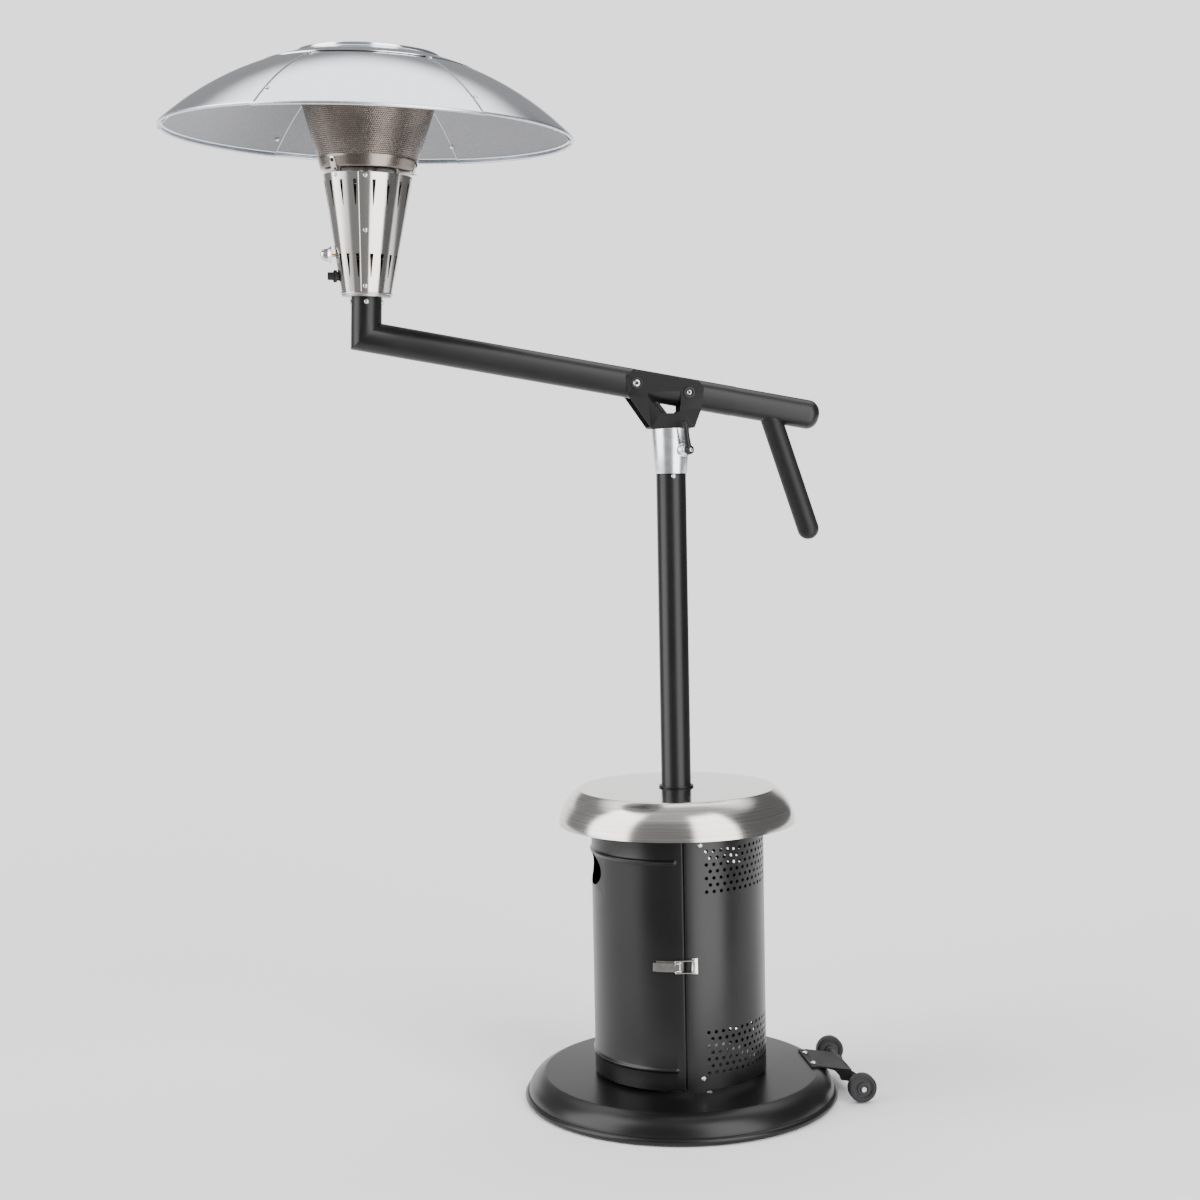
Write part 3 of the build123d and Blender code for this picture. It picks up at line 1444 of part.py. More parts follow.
with BuildPart(head.offset(emitter_top)) as emitter_lid:
    Cylinder(emitter_high_r, 2, align=LOW)
    Cylinder(stud_dia / 2 + 6, dome_height(stud_dia / 2 + 6, hub_low) - emitter_top, align=LOW)
    Cylinder(stud_dia / 2, 2 * (dome_apex_height - emitter_top), mode=Mode.SUBTRACT)
emitter_lid.part.label = "emitter_lid"
export_step(emitter_lid.part, "parts/emitter_lid.step")

cap_r = cap_dia / 2
cap_mid = (cap_r + hub_r) / 2
cap_low = petal_sheet + 0.05
cap_high = cap_low + cap_sheet
disc_edge = dome_height(hub_r, cap_high) + cap_step
cap_apex = dome_height(0, cap_high) + cap_rise
with BuildPart() as dome_cap:
    with BuildSketch(head_side):
        with BuildLine():
            ThreePointArc(
                (cap_r, dome_height(cap_r, cap_low)),
                (cap_mid, dome_height(cap_mid, cap_low)),
                (hub_r - cap_sheet, dome_height(hub_r - cap_sheet, cap_low)),
            )
            Line((hub_r - cap_sheet, dome_height(hub_r - cap_sheet, cap_low)), (hub_r - cap_sheet, disc_edge - cap_sheet))
            ThreePointArc(
                (hub_r - cap_sheet, disc_edge - cap_sheet),
                (hub_r / 2, (disc_edge + 2.2 * cap_apex) / 3.2 - cap_sheet),
                (0, cap_apex - cap_sheet),
            )
            Line((0, cap_apex - cap_sheet), (0, cap_apex))
            ThreePointArc((0, cap_apex), (hub_r / 2, (disc_edge + 2.2 * cap_apex) / 3.2), (hub_r, disc_edge))
            Line((hub_r, disc_edge), (hub_r, dome_height(hub_r, cap_high)))
            ThreePointArc(
                (hub_r, dome_height(hub_r, cap_high)),
                (cap_mid, dome_height(cap_mid, cap_high)),
                (cap_r, dome_height(cap_r, cap_high)),
            )
            Line((cap_r, dome_height(cap_r, cap_high)), (cap_r, dome_height(cap_r, cap_low)))
        make_face()
    revolve(axis=head_axis)
    with BuildSketch(head.offset(emitter_top)):
        Circle(stud_dia / 2 + 0.1)
    extrude(amount=dome_apex_height - emitter_top + 40, mode=Mode.SUBTRACT)
dome_cap.part.label = "dome_cap"
export_step(dome_cap.part, "parts/dome_cap.step")

with BuildPart(head.offset(emitter_top)) as dome_stud:
    Cylinder(stud_dia / 2, cap_apex - emitter_top + 8, align=LOW)
    with BuildSketch(head.offset(cap_apex)):
        RegularPolygon(stud_dia * 0.8, 6, major_radius=False)
    extrude(amount=5)
dome_stud.part.label = "dome_stud"
export_step(dome_stud.part, "parts/dome_stud.step")

# Transport wheels on the base rim
cheek_y = cheek_spread / 2
with BuildPart() as wheel_bracket:
    with BuildSketch(Plane.XZ):
        with BuildLine():
            Polyline(
                (hood_inner_x, base_height),
                (base_top_dia / 2, base_height),
                (wheel_x - 22, wheel_z + 15),
                (wheel_x - 4, wheel_z + 12),
                (wheel_x - 2, wheel_z + 12 + wheel_plate),
                (wheel_x - 22, wheel_z + 15 + wheel_plate),
                (base_top_dia / 2, base_height + wheel_plate),
                (hood_inner_x, base_height + wheel_plate),
                close=True,
            )
        make_face()
    extrude(amount=cheek_y, both=True)
    with BuildSketch(Plane.XZ):
        with BuildLine():
            Polyline(
                (base_top_dia / 2 + 8, base_height - 1),
                (wheel_x - 22, wheel_z + 16),
                (wheel_x - 3, wheel_z + 13),
                (wheel_x + 9, wheel_z + 5),
                (wheel_x + 9, wheel_z - 5),
                (wheel_x - 4, wheel_z - 10),
                (base_r + 2, wheel_z - 6),
                (base_r - 2, wheel_z + 4),
                (base_r - 12, wheel_z + 15),
                close=True,
            )
        make_face()
        with Locations((wheel_x, wheel_z)):
            Circle(axle_dia / 2, mode=Mode.SUBTRACT)
    extrude(amount=cheek_y, both=True)
    with BuildSketch(Plane.XZ):
        with Locations((base_r, 0)):
            Rectangle(base_dia, wheel_z + 12)
        with Locations((base_r, wheel_z)):
            Rectangle(90, 24)
    extrude(amount=cheek_y - wheel_plate, both=True, mode=Mode.SUBTRACT)
    with BuildSketch(*bracket_screw_planes):
        Circle(bracket_screw_dia / 2 + 0.1)
    extrude(amount=-10, both=True, mode=Mode.SUBTRACT)
wheel_bracket.part.label = "wheel_bracket"
export_step(wheel_bracket.part, "parts/wheel_bracket.step")

with BuildPart() as bracket_screws:
    with BuildSketch(*bracket_screw_planes):
        Circle(bracket_screw_dia / 2)
    extrude(amount=-wheel_plate - base_sheet)
    with BuildSketch(*bracket_screw_planes):
        Circle(bracket_screw_dia)
    extrude(amount=3)
bracket_screws.part.label = "bracket_screws"
export_step(bracket_screws.part, "parts/bracket_screws.step")

axle_plane = Plane(origin=(wheel_x, 0, wheel_z), x_dir=(1, 0, 0), z_dir=(0, -1, 0))
wheel_inner_face = wheel_track / 2 - wheel_width / 2
with BuildPart(axle_plane) as axle:
    Cylinder(axle_dia / 2, 2 * (wheel_inner_face + wheel_width + 6))
    for side in (1, -1):
        with BuildSketch(axle_plane.offset(side * (wheel_inner_face + wheel_width + body_gap))):
            Circle(axle_dia * 0.8)
        extrude(amount=side * 4)
axle.part.label = "axle"
export_step(axle.part, "parts/axle.step")

wheel_profile = [
    (axle_dia / 2 + running_gap, 0),
    (axle_dia / 2 + 6, 0),
    (axle_dia / 2 + 7, 4),
    (wheel_dia / 2 - 7, 4),
    (wheel_dia / 2 - 6, 0),
    (wheel_dia / 2 - 2, 0),
    (wheel_dia / 2, 2.5),
    (wheel_dia / 2, wheel_width - 2.5),
    (wheel_dia / 2 - 2, wheel_width),
    (wheel_dia / 2 - 6, wheel_width),
    (wheel_dia / 2 - 7, wheel_width - 4),
    (axle_dia / 2 + 7, wheel_width - 4),
    (axle_dia / 2 + 6, wheel_width),
    (axle_dia / 2 + running_gap, wheel_width),
]
with BuildPart() as near_wheel:
    with BuildSketch(Plane(origin=(wheel_x, -wheel_inner_face, wheel_z), x_dir=(1, 0, 0), z_dir=(0, 0, 1))):
        with BuildLine():
            Polyline(*[(radius, -along) for radius, along in wheel_profile], close=True)
        make_face()
    revolve(axis=Axis((wheel_x, 0, wheel_z), (0, 1, 0)))
near_wheel.part.label = "near_wheel"
export_step(near_wheel.part, "parts/near_wheel.step")

with BuildPart() as far_wheel:
    with BuildSketch(Plane(origin=(wheel_x, wheel_inner_face, wheel_z), x_dir=(1, 0, 0), z_dir=(0, 0, 1))):
        with BuildLine():
            Polyline(*wheel_profile, close=True)
        make_face()
    revolve(axis=Axis((wheel_x, 0, wheel_z), (0, 1, 0)))
far_wheel.part.label = "far_wheel"
export_step(far_wheel.part, "parts/far_wheel.step")
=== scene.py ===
"""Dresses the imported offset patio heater: smooth metalwork, small fasteners, finishes and a photo studio.

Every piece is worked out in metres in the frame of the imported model, +Z up and the head towards -X.
"""

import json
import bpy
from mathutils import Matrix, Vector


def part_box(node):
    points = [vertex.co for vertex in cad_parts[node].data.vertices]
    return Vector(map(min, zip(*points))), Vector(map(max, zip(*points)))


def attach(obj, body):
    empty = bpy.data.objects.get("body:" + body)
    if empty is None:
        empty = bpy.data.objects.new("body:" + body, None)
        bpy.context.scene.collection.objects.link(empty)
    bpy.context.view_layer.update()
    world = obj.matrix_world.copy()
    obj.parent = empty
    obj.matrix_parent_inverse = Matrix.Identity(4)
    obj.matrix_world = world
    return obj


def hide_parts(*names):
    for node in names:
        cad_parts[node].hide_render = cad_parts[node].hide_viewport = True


bl_info = {
    "name": "Offset Patio Heater",
    "version": (1, 0, 0),
    "blender": (4, 5, 0),
    "location": "3D View > Sidebar > Heater",
    "description": "Dresses the packed heater and sets a studio round it",
    "category": "Object",
}

from math import atan2, cos, pi, radians, sin, sqrt, tan

import bmesh
import bpy
import numpy as np
from bpy.props import FloatProperty, FloatVectorProperty, PointerProperty
from bpy.types import Operator, Panel, PropertyGroup
from mathutils import Matrix

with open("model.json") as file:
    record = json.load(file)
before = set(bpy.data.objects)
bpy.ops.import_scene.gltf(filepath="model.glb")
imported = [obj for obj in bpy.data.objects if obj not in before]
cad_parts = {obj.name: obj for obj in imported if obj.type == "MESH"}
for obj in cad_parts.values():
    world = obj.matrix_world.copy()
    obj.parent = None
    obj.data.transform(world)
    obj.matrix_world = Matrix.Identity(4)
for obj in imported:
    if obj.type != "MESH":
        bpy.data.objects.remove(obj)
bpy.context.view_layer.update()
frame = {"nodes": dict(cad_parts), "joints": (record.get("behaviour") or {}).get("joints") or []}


def box(node):
    """Lowest and highest corner of a CAD node as arrays."""
    low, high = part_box(node)
    return np.array(low), np.array(high)


def joint(name):
    """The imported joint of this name."""
    return next(j for j in frame["joints"] if j["name"] == name)


def length(default, name, description):
    """A size in metres."""
    return FloatProperty(name=name, description=description, default=default, unit="LENGTH", precision=4)


def turn(default, name, description):
    """An angle, given in degrees and kept in radians."""
    return FloatProperty(name=name, description=description, default=radians(default), subtype="ANGLE")


def colour(default, name, description):
    """A linear colour."""
    return FloatVectorProperty(
        name=name, description=description, default=default, subtype="COLOR", size=3, min=0, max=1
    )


def strength(default, name, description):
    """A plain number from 0 up."""
    return FloatProperty(name=name, description=description, default=default, min=0)


def span_of(node, axis):
    """How far a CAD node reaches along one axis."""
    low, high = box(node)
    return float(high[axis] - low[axis])


class HeaterSizes(PropertyGroup):
    """Sizes that the dressed pieces share."""

    sheet: length(0.0012, "Sheet", "Thickness of the housing's sheet")
    base_radius: length(span_of("base_cover", 1) / 2, "Base radius", "Outer radius of the base")
    base_top_radius: length(0.283, "Base flat radius", "Radius of the base's flat top")
    base_bead: length(0.0075, "Base bead", "Radius of the rolled rim of the base")
    housing_radius: length(span_of("rear_panel", 1) / 2, "Housing radius", "Outer radius of the gas housing")
    seam_gap: length(0.006, "Seam gap", "Gap between door and rear panel")
    seam_lip: length(0.009, "Seam lip", "Depth of the folded edges at the seam")
    door_half: turn(83.0, "Door half angle", "Half the angle that the door takes up")
    door_bead: length(0.0062, "Door bead", "Half the width of the door's pressed beads")
    door_bead_rise: length(0.0034, "Bead height", "How far the door's beads stand out")
    bead_inset: length(0.049, "Bead inset", "Distance of the top bead from the door's edge")
    hand_hole_drop: length(0.087, "Hand hole drop", "Middle of the hand hole below the door's top")
    hand_hole_width: length(0.120, "Hand hole width", "Width of the hand hole")
    hand_hole_height: length(0.066, "Hand hole height", "Height of the hand hole")
    vent_radius: length(0.00375, "Vent radius", "Radius of one hole of the rear panel")
    vent_pitch: length(0.0160, "Vent pitch", "Distance between holes in a row")
    vent_row: length(0.0136, "Vent row", "Distance between rows of holes")
    vent_low: length(0.096, "Lowest vent", "Height of the lowest row of holes")
    vent_high: length(0.542, "Highest vent", "Height of the highest row of holes")
    vent_half: turn(84.0, "Vent half angle", "Half the angle that the holes take up")
    table_flat: length(0.202, "Table flat radius", "Radius of the table's flat top")
    arm_rise: turn(10.5, "Arm rise", "Slope of the arm")
    head_lean: turn(3.0, "Head lean", "Lean of the burner head to the near side")
    post_radius: length(span_of("arm_tube", 1) / 2, "Tube radius", "Radius of post and arm")
    sleeve_radius: length(span_of("sleeve", 1) / 2, "Sleeve radius", "Radius of the arm's rear end")
    grip_radius: length(span_of("handle_grip", 1) / 2, "Grip radius", "Radius of the grab handle")
    handle_lean: turn(18.2, "Handle lean", "Angle of the handle from upright")
    cone_low: length(0.0840, "Cone bottom", "Height of the cone's bottom above the elbow")
    cone_high: length(0.3130, "Cone top", "Height of the cone's top above the elbow")
    cone_low_radius: length(0.05035, "Cone bottom radius", "Radius of the cone's bottom")
    cone_high_radius: length(0.08925, "Cone top radius", "Radius of the cone's top")
    emitter_low: length(0.323, "Emitter bottom", "Height of the emitter's bottom above the elbow")
    emitter_high: length(0.505, "Emitter top", "Height of the emitter's top above the elbow")
    emitter_low_radius: length(0.092, "Emitter bottom radius", "Radius of the emitter's bottom")
    emitter_high_radius: length(0.148, "Emitter top radius", "Radius of the emitter's top")
    dome_radius: length(0.404, "Dome radius", "Radius of the reflector's rim")
    dome_rim: length(0.396, "Dome rim", "Height of the reflector's rim above the elbow")
    dome_apex: length(0.556, "Dome apex", "Height of the reflector's crown above the elbow")
    dome_bead: length(0.0035, "Dome bead", "Radius of the reflector's rolled rim")
    petal_sheet: length(0.0010, "Petal sheet", "Thickness of the reflector's petals")
    petal_lap: turn(2.1, "Petal lap", "Angle by which the petals lap")
    petal_first: turn(0.0, "First petal", "Angle of the first petal's middle from the near side")
    cap_radius: length(0.212, "Cap radius", "Radius of the reflector's cap")
    disc_radius: length(0.141, "Disc radius", "Radius of the cap's raised disc")
    knob_height: length(0.158, "Knob height", "Height of the knob above the elbow")
    knob_reach: length(0.080, "Knob reach", "Distance of the knob's joint from the head's axis")


class HeaterColours(PropertyGroup):
    """Colours of the finishes."""

    black: colour((0.0050, 0.0050, 0.0054), "Black", "Satin black paint of tubes and housing")
    base: colour((0.0045, 0.0045, 0.0050), "Base black", "Glossy black of the base")
    steel: colour((0.58, 0.555, 0.535), "Steel", "Brushed stainless steel")
    emitter: colour((0.20, 0.168, 0.150), "Emitter", "Heat tinted steel of the emitter")
    aluminium: colour((0.76, 0.80, 0.86), "Aluminium", "Bright reflector metal")
    lining: colour((0.27, 0.272, 0.285), "Lining", "Dull inner side of the reflector")
    zinc: colour((0.70, 0.71, 0.73), "Zinc", "Screws and bolts")
    plastic: colour((0.007, 0.007, 0.0075), "Plastic", "Black moulded plastic")
    brass: colour((0.66, 0.45, 0.20), "Brass", "Valve and spindle")
    floor: colour((0.90, 0.90, 0.90), "Floor", "Studio floor")


class HeaterStudio(PropertyGroup):
    """Camera and lights."""

    lens: FloatProperty(name="Lens", description="Focal length in millimetres", default=54.96, min=10)
    softbox: strength(5.5, "Softboxes", "Strength of the two upright softboxes")
    ceiling: strength(3.0, "Ceiling", "Strength of the light from above")
    sweep: strength(1.9, "Sweep", "Strength of the pale wall behind")
    room: strength(0.16, "Room", "Strength of the dim room round the lights")
    backdrop: strength(1.836, "Backdrop", "Brightness of the plain background")


class Place:
    """A right-handed set of axes at an origin."""

    def __init__(self, origin, x, z):
        self.origin = np.array(origin, float)
        self.z = unit(np.array(z, float))
        x = np.array(x, float)
        self.x = unit(x - self.z * (x @ self.z))
        self.y = np.cross(self.z, self.x)

    def at(self, local):
        """Points given along these axes, in the frame of the model."""
        return self.origin + np.asarray(local, float) @ np.stack([self.x, self.y, self.z])

    def moved(self, x=0.0, y=0.0, z=0.0):
        """The same axes at a shifted origin."""
        return Place(self.at((x, y, z)), self.x, self.z)

    def turned(self, angle):
        """The same axes turned about z."""
        return Place(self.origin, self.x * cos(angle) + self.y * sin(angle), self.z)

    def facing(self, angle, radius=0.0, height=0.0):
        """Axes whose z points away from this z axis at an angle from x, and whose y is this z."""
        out = self.x * cos(angle) + self.y * sin(angle)
        return Place(self.origin + out * radius + self.z * height, np.cross(self.z, out), out)

    def matrix(self):
        """The same as a 4 by 4 matrix."""
        rows = np.eye(4)
        rows[:3, 0], rows[:3, 1], rows[:3, 2], rows[:3, 3] = self.x, self.y, self.z, self.origin
        return Matrix(rows.tolist())


def unit(vectors):
    """Vectors at length one."""
    vectors = np.asarray(vectors, float)
    return vectors / np.maximum(np.linalg.norm(vectors, axis=-1, keepdims=True), 1e-12)


def polar(radius, angle, height=None):
    """Points at a radius and an angle, x = r cos a and y = r sin a, with a height where one is given."""
    x, y = radius * np.cos(angle), radius * np.sin(angle)
    return np.stack((x, y) if height is None else (x, y, np.broadcast_to(height, np.shape(x))), -1)


def arc(start, middle, end, count):
    """Points on the circle through three points: its centre is equally far from all three."""
    a, b, c = (np.array(p, float) for p in (start, middle, end))
    rows = np.array([b - a, c - a]) * 2
    centre = np.linalg.solve(rows, [b @ b - a @ a, c @ c - a @ a])
    first, mid, last = (atan2(*(p - centre)[::-1]) for p in (a, b, c))
    sweep = (last - first) % (2 * pi)
    if (mid - first) % (2 * pi) > sweep:
        sweep -= 2 * pi
    angles = first + sweep * np.linspace(0, 1, count)
    return centre + polar(np.linalg.norm(a - centre), angles)


def rounded(corners, radius, steps=5, closed=True):
    """An outline with its corners rounded: each corner gives way to an arc that touches both its sides."""
    p = np.asarray(corners, float)
    back, ahead = np.roll(p, 1, 0) - p, np.roll(p, -1, 0) - p
    back_length = np.linalg.norm(back, axis=1)
    ahead_length = np.linalg.norm(ahead, axis=1)
    back, ahead = unit(back), unit(ahead)
    half = 0.5 * np.arccos(np.clip((back * ahead).sum(1), -1 + 1e-9, 1 - 1e-9))
    reach = np.minimum(radius / np.tan(half), 0.49 * np.minimum(back_length, ahead_length))
    if not closed:
        reach[[0, -1]] = 0
    bow = reach * np.tan(half)
    centre = p + unit(back + ahead) * (bow / np.sin(half))[:, None]
    start, end = p + back * reach[:, None] - centre, p + ahead * reach[:, None] - centre
    sweep = np.maximum(pi - 2 * half, 1e-6)[:, None, None]
    t = np.linspace(0, 1, steps)[None, :, None]
    swing = (np.sin((1 - t) * sweep) * start[:, None] + np.sin(t * sweep) * end[:, None]) / np.sin(sweep)
    points = (centre[:, None] + swing).reshape(-1, p.shape[1])
    return points[steps - 1 : -(steps - 1)] if not closed else points


def rows_of(*stretches):
    """Sorted lines from stretches (first, last, step), with lines that nearly meet taken as one."""
    parts = [np.linspace(a, b, max(2, int(round(abs(b - a) / step)) + 1)) for a, b, step in stretches]
    return np.unique(np.round(np.concatenate(parts), 6))


def grid_faces(n, m, close_u=False, close_v=False):
    """Quads of an n by m grid and the grid indices of their corners."""
    i, j = np.meshgrid(np.arange(n - (not close_u)), np.arange(m - (not close_v)), indexing="ij")
    i, j = i.ravel(), j.ravel()
    faces = np.stack([i * m + j, (i + 1) % n * m + j, (i + 1) % n * m + (j + 1) % m, i * m + (j + 1) % m], 1)
    return faces, np.stack([np.stack([i, i + 1, i + 1, i], 1), np.stack([j, j, j + 1, j + 1], 1)], -1)


class Piece:
    """One finished piece: surfaces gathered in one mesh that rides on a body."""

    def __init__(self, name, body, *finishes):
        self.name = name
        self.body = body
        self.finishes = finishes
        self.gathered = bmesh.new()
        self.uv = self.gathered.loops.layers.uv.new("surface")

    def take(self, mesh, finish=0):
        """Adds a Blender mesh, with one finish or one for each face, and drops it."""
        slots = np.broadcast_to(np.asarray(finish, np.int32), len(mesh.polygons))
        mesh.polygons.foreach_set("material_index", np.ascontiguousarray(slots))
        self.gathered.from_mesh(mesh)
        bpy.data.meshes.remove(mesh)

    def faces(self, points, faces, corners=None, finish=0):
        """Adds faces over an array of points, with the surface coordinates of their corners."""
        mesh = bpy.data.meshes.new("part")
        mesh.from_pydata(np.asarray(points).reshape(-1, 3).tolist(), [], [list(f) for f in faces])
        if corners is not None:
            layer = mesh.uv_layers.new(name="surface")
            layer.data.foreach_set("uv", np.asarray(corners, float).ravel())
        self.take(mesh, finish)

    def lathe(self, profile, place, steps=96, start=0.0, sweep=2 * pi, closed=True, finish=0, turns=None):
        """Turns a profile of (radius, height) about z: x = r cos a, y = r sin a, z = h."""
        profile = np.asarray(profile, float)
        full = sweep > 2 * pi - 1e-6
        count = steps if full else steps + 1
        angles = start + sweep * np.arange(count) / steps
        r, h = profile.T
        local = polar(r, angles[:, None], h)
        quads, corners = grid_faces(count, len(profile), full, closed)
        ends = np.vstack([profile, profile[:1]])
        along = np.concatenate([[0], np.cumsum(np.linalg.norm(np.diff(ends, axis=0), axis=1))])
        around = start + sweep * np.arange(steps + 1) / steps
        scale = turns / (2 * pi) if turns else float(r.max())
        uv = np.stack([around[corners[..., 0]] * scale, along[corners[..., 1]]], -1)
        if not isinstance(finish, int):
            finish = np.tile(np.asarray(finish), len(angles) - (not full))
        self.faces(place.at(local), quads, uv, finish)
        if closed and not full:
            rim = np.arange(len(profile))
            cap = finish if isinstance(finish, int) else 0
            self.faces(place.at(local)[0], [rim], finish=cap)
            self.faces(place.at(local)[-1], [rim[::-1]], finish=cap)

    def tube(self, path, radii, normal, sides=48, finish=0, closed=False):
        """Carries a ring along a path in the plane across normal; at a corner the ring lies in the mitre."""
        path = np.asarray(path, float)
        radii = np.broadcast_to(radii, len(path))
        step = unit(np.diff(path, axis=0))
        keep = np.linalg.norm(np.diff(path, axis=0), axis=1) > 1e-9
        step = step[np.maximum.accumulate(np.where(keep, np.arange(len(step)), np.argmax(keep)))]
        into, out = np.vstack([step[:1], step]), np.vstack([step, step[-1:]])
        ahead = unit(into + out)
        stretch = 1 / np.maximum((ahead * into).sum(1), 0.2)
        side = np.cross(ahead, normal) * stretch[:, None]
        angles = np.linspace(0, 2 * pi, sides, endpoint=False)
        turn_x, turn_y = np.cos(angles)[None, :, None], np.sin(angles)[None, :, None]
        ring = turn_x * np.asarray(normal) + turn_y * side[:, None]
        points = path[:, None] + radii[:, None, None] * ring
        quads, corners = grid_faces(len(path), sides, closed, True)
        far = np.concatenate([[0], np.cumsum(np.linalg.norm(np.diff(path, axis=0), axis=1))])
        far = np.append(far, far[-1])
        uv = np.stack([far[corners[..., 0]], corners[..., 1] / sides * 2 * pi * radii.max()], -1)
        self.faces(points, quads, uv, finish)
        if not closed:
            for ring_points, order in ((points[0], slice(None)), (points[-1], slice(None, None, -1))):
                if radii.max() > 1e-6 and np.ptp(ring_points, axis=0).max() > 1e-6:
                    self.faces(ring_points, [np.arange(sides)[order]], finish=finish)

    def plate(self, loops, depth, edge, place, finish=0):
        """A flat plate with rounded edges, from its outline and its holes; depth is centred on the place."""
        flat = bpy.data.curves.new("plate", "CURVE")
        flat.dimensions = "2D"
        flat.fill_mode = "BOTH"
        flat.extrude = depth / 2 - edge
        flat.bevel_depth = edge
        flat.bevel_resolution = 1
        flat.offset = -edge
        for loop in loops:
            line = flat.splines.new("POLY")
            line.points.add(len(loop) - 1)
            values = np.zeros((len(loop), 4))
            values[:, :2], values[:, 3] = loop, 1
            line.points.foreach_set("co", values.ravel())
            line.use_cyclic_u = True
        holder = bpy.data.objects.new("plate", flat)
        bpy.context.scene.collection.objects.link(holder)
        mesh = bpy.data.meshes.new_from_object(holder)
        mesh.transform(place.matrix())
        bpy.data.objects.remove(holder)
        bpy.data.curves.remove(flat)
        self.take(mesh, finish)

    def solid(self, node, finish=0):
        """Adds a merged copy of a CAD node's own mesh."""
        self.take(frame["nodes"][node].data.copy(), finish)

    def done(self, *replaced, sharp=35.0, wall=None, lined=0, bevel=None, recalculate=True):
        """Welds the mesh, marks sharp and open edges and makes the object that stands for replaced nodes."""
        bmesh.ops.remove_doubles(self.gathered, verts=self.gathered.verts, dist=2e-6)
        loose = [v for v in self.gathered.verts if not v.link_faces]
        bmesh.ops.delete(self.gathered, geom=loose, context="VERTS")
        if recalculate:
            bmesh.ops.recalc_face_normals(self.gathered, faces=self.gathered.faces)
        open_edge = np.array([edge.is_boundary for edge in self.gathered.edges])
        mesh = bpy.data.meshes.new(self.name)
        self.gathered.to_mesh(mesh)
        self.gathered.free()
        for name in self.finishes:
            mesh.materials.append(finish_of(name))
        mesh.shade_smooth()
        mesh.set_sharp_from_angle(angle=radians(sharp))
        sharp_edge = np.zeros(len(mesh.edges), bool)
        mesh.edges.foreach_get("use_edge_sharp", sharp_edge)
        mesh.edges.foreach_set("use_edge_sharp", sharp_edge | open_edge)
        piece = bpy.data.objects.new(self.name, mesh)
        bpy.context.scene.collection.objects.link(piece)
        if wall:
            shell = piece.modifiers.new("wall", "SOLIDIFY")
            shell.thickness = wall
            shell.offset = -1
            shell.material_offset = shell.material_offset_rim = lined
        if bevel:
            edges = piece.modifiers.new("edges", "BEVEL")
            edges.width = bevel
            edges.segments = 2
            edges.limit_method = "ANGLE"
            edges.angle_limit = radians(sharp)
            edges.harden_normals = True
        if replaced:
            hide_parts(*replaced)
        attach(piece, self.body)


def as_modelled(node, form, body, finish, edge=None, sharp=35.0):
    """A piece in a CAD node's own shape, with its edges rounded."""
    piece = Piece(f"{node}_{form}", body, finish)
    piece.solid(node)
    piece.done(node, bevel=edge, sharp=sharp)


def pierced(columns, rows, groups):
    """A sheet of grid cells in which blocks of cells give way to a ring round a hole.

    Each group is (blocks, hole): a block is (first column, last column, first row, last row), and hole
    turns the block's edge points, as fractions of its half size, into offsets from its middle in metres.
    """
    s, z = np.meshgrid(columns, rows, indexing="ij")
    flat = np.stack([s, z], -1).reshape(-1, 2)
    m = len(rows)
    free = np.ones((len(columns) - 1, m - 1), bool)
    rings, inner, total = [], [], len(flat)
    for blocks, hole in groups:
        blocks = np.asarray(blocks)
        for i0, i1, j0, j1 in blocks:
            free[i0:i1, j0:j1] = False
        w, h = blocks[0, 1] - blocks[0, 0], blocks[0, 3] - blocks[0, 2]
        i = np.concatenate([np.arange(w), np.full(h, w), np.arange(w, 0, -1), np.zeros(h, int)])
        j = np.concatenate([np.zeros(w, int), np.arange(h), np.full(w, h), np.arange(h, 0, -1)])
        edge = (blocks[:, :1] + i) * m + blocks[:, 2:3] + j
        low = flat[blocks[:, 0] * m + blocks[:, 2]]
        high = flat[blocks[:, 1] * m + blocks[:, 3]]
        middle, half = (low + high) / 2, (high - low) / 2
        inside = middle[:, None] + hole((flat[edge] - middle[:, None]) / half[:, None])
        number = total + np.arange(edge.size).reshape(edge.shape)
        ring = np.stack([edge, np.roll(edge, -1, 1), np.roll(number, -1, 1), number], -1)
        rings.append(ring.reshape(-1, 4))
        inner.append(inside.reshape(-1, 2))
        total += edge.size
    i, j = np.nonzero(free)
    quads = np.stack([i * m + j, (i + 1) * m + j, (i + 1) * m + j + 1, i * m + j + 1], 1)
    return np.vstack([flat, *inner]), np.vstack([quads, *rings])


def near(lines, value):
    """Index of the line nearest to a value."""
    return int(np.argmin(np.abs(lines - value)))


class Value:
    """One value in a shader, so that arithmetic in Python adds Math nodes."""

    def __init__(self, finish, socket):
        self.finish = finish
        self.socket = socket

    def math(self, operation, *others):
        """A Math node on this value and others."""
        node = self.finish.add("ShaderNodeMath", {"operation": operation})
        for socket, value in zip(node.inputs, (self, *others)):
            self.finish.join(value, socket)
        return Value(self.finish, node.outputs[0])

    def __add__(self, other):
        return self.math("ADD", other)

    def __sub__(self, other):
        return self.math("SUBTRACT", other)

    def __rsub__(self, other):
        return -self + other

    def __mul__(self, other):
        return self.math("MULTIPLY", other)

    def __truediv__(self, other):
        return self.math("DIVIDE", other)

    def __neg__(self):
        return self * -1.0

    __radd__ = __add__
    __rmul__ = __mul__

    def between(self, low, high):
        """0 below low, 1 above high and a smooth step between."""
        node = self.finish.add("ShaderNodeMapRange", {"interpolation_type": "SMOOTHSTEP"})
        for socket, value in zip(node.inputs, (self, low, high)):
            self.finish.join(value, socket)
        return Value(self.finish, node.outputs[0])


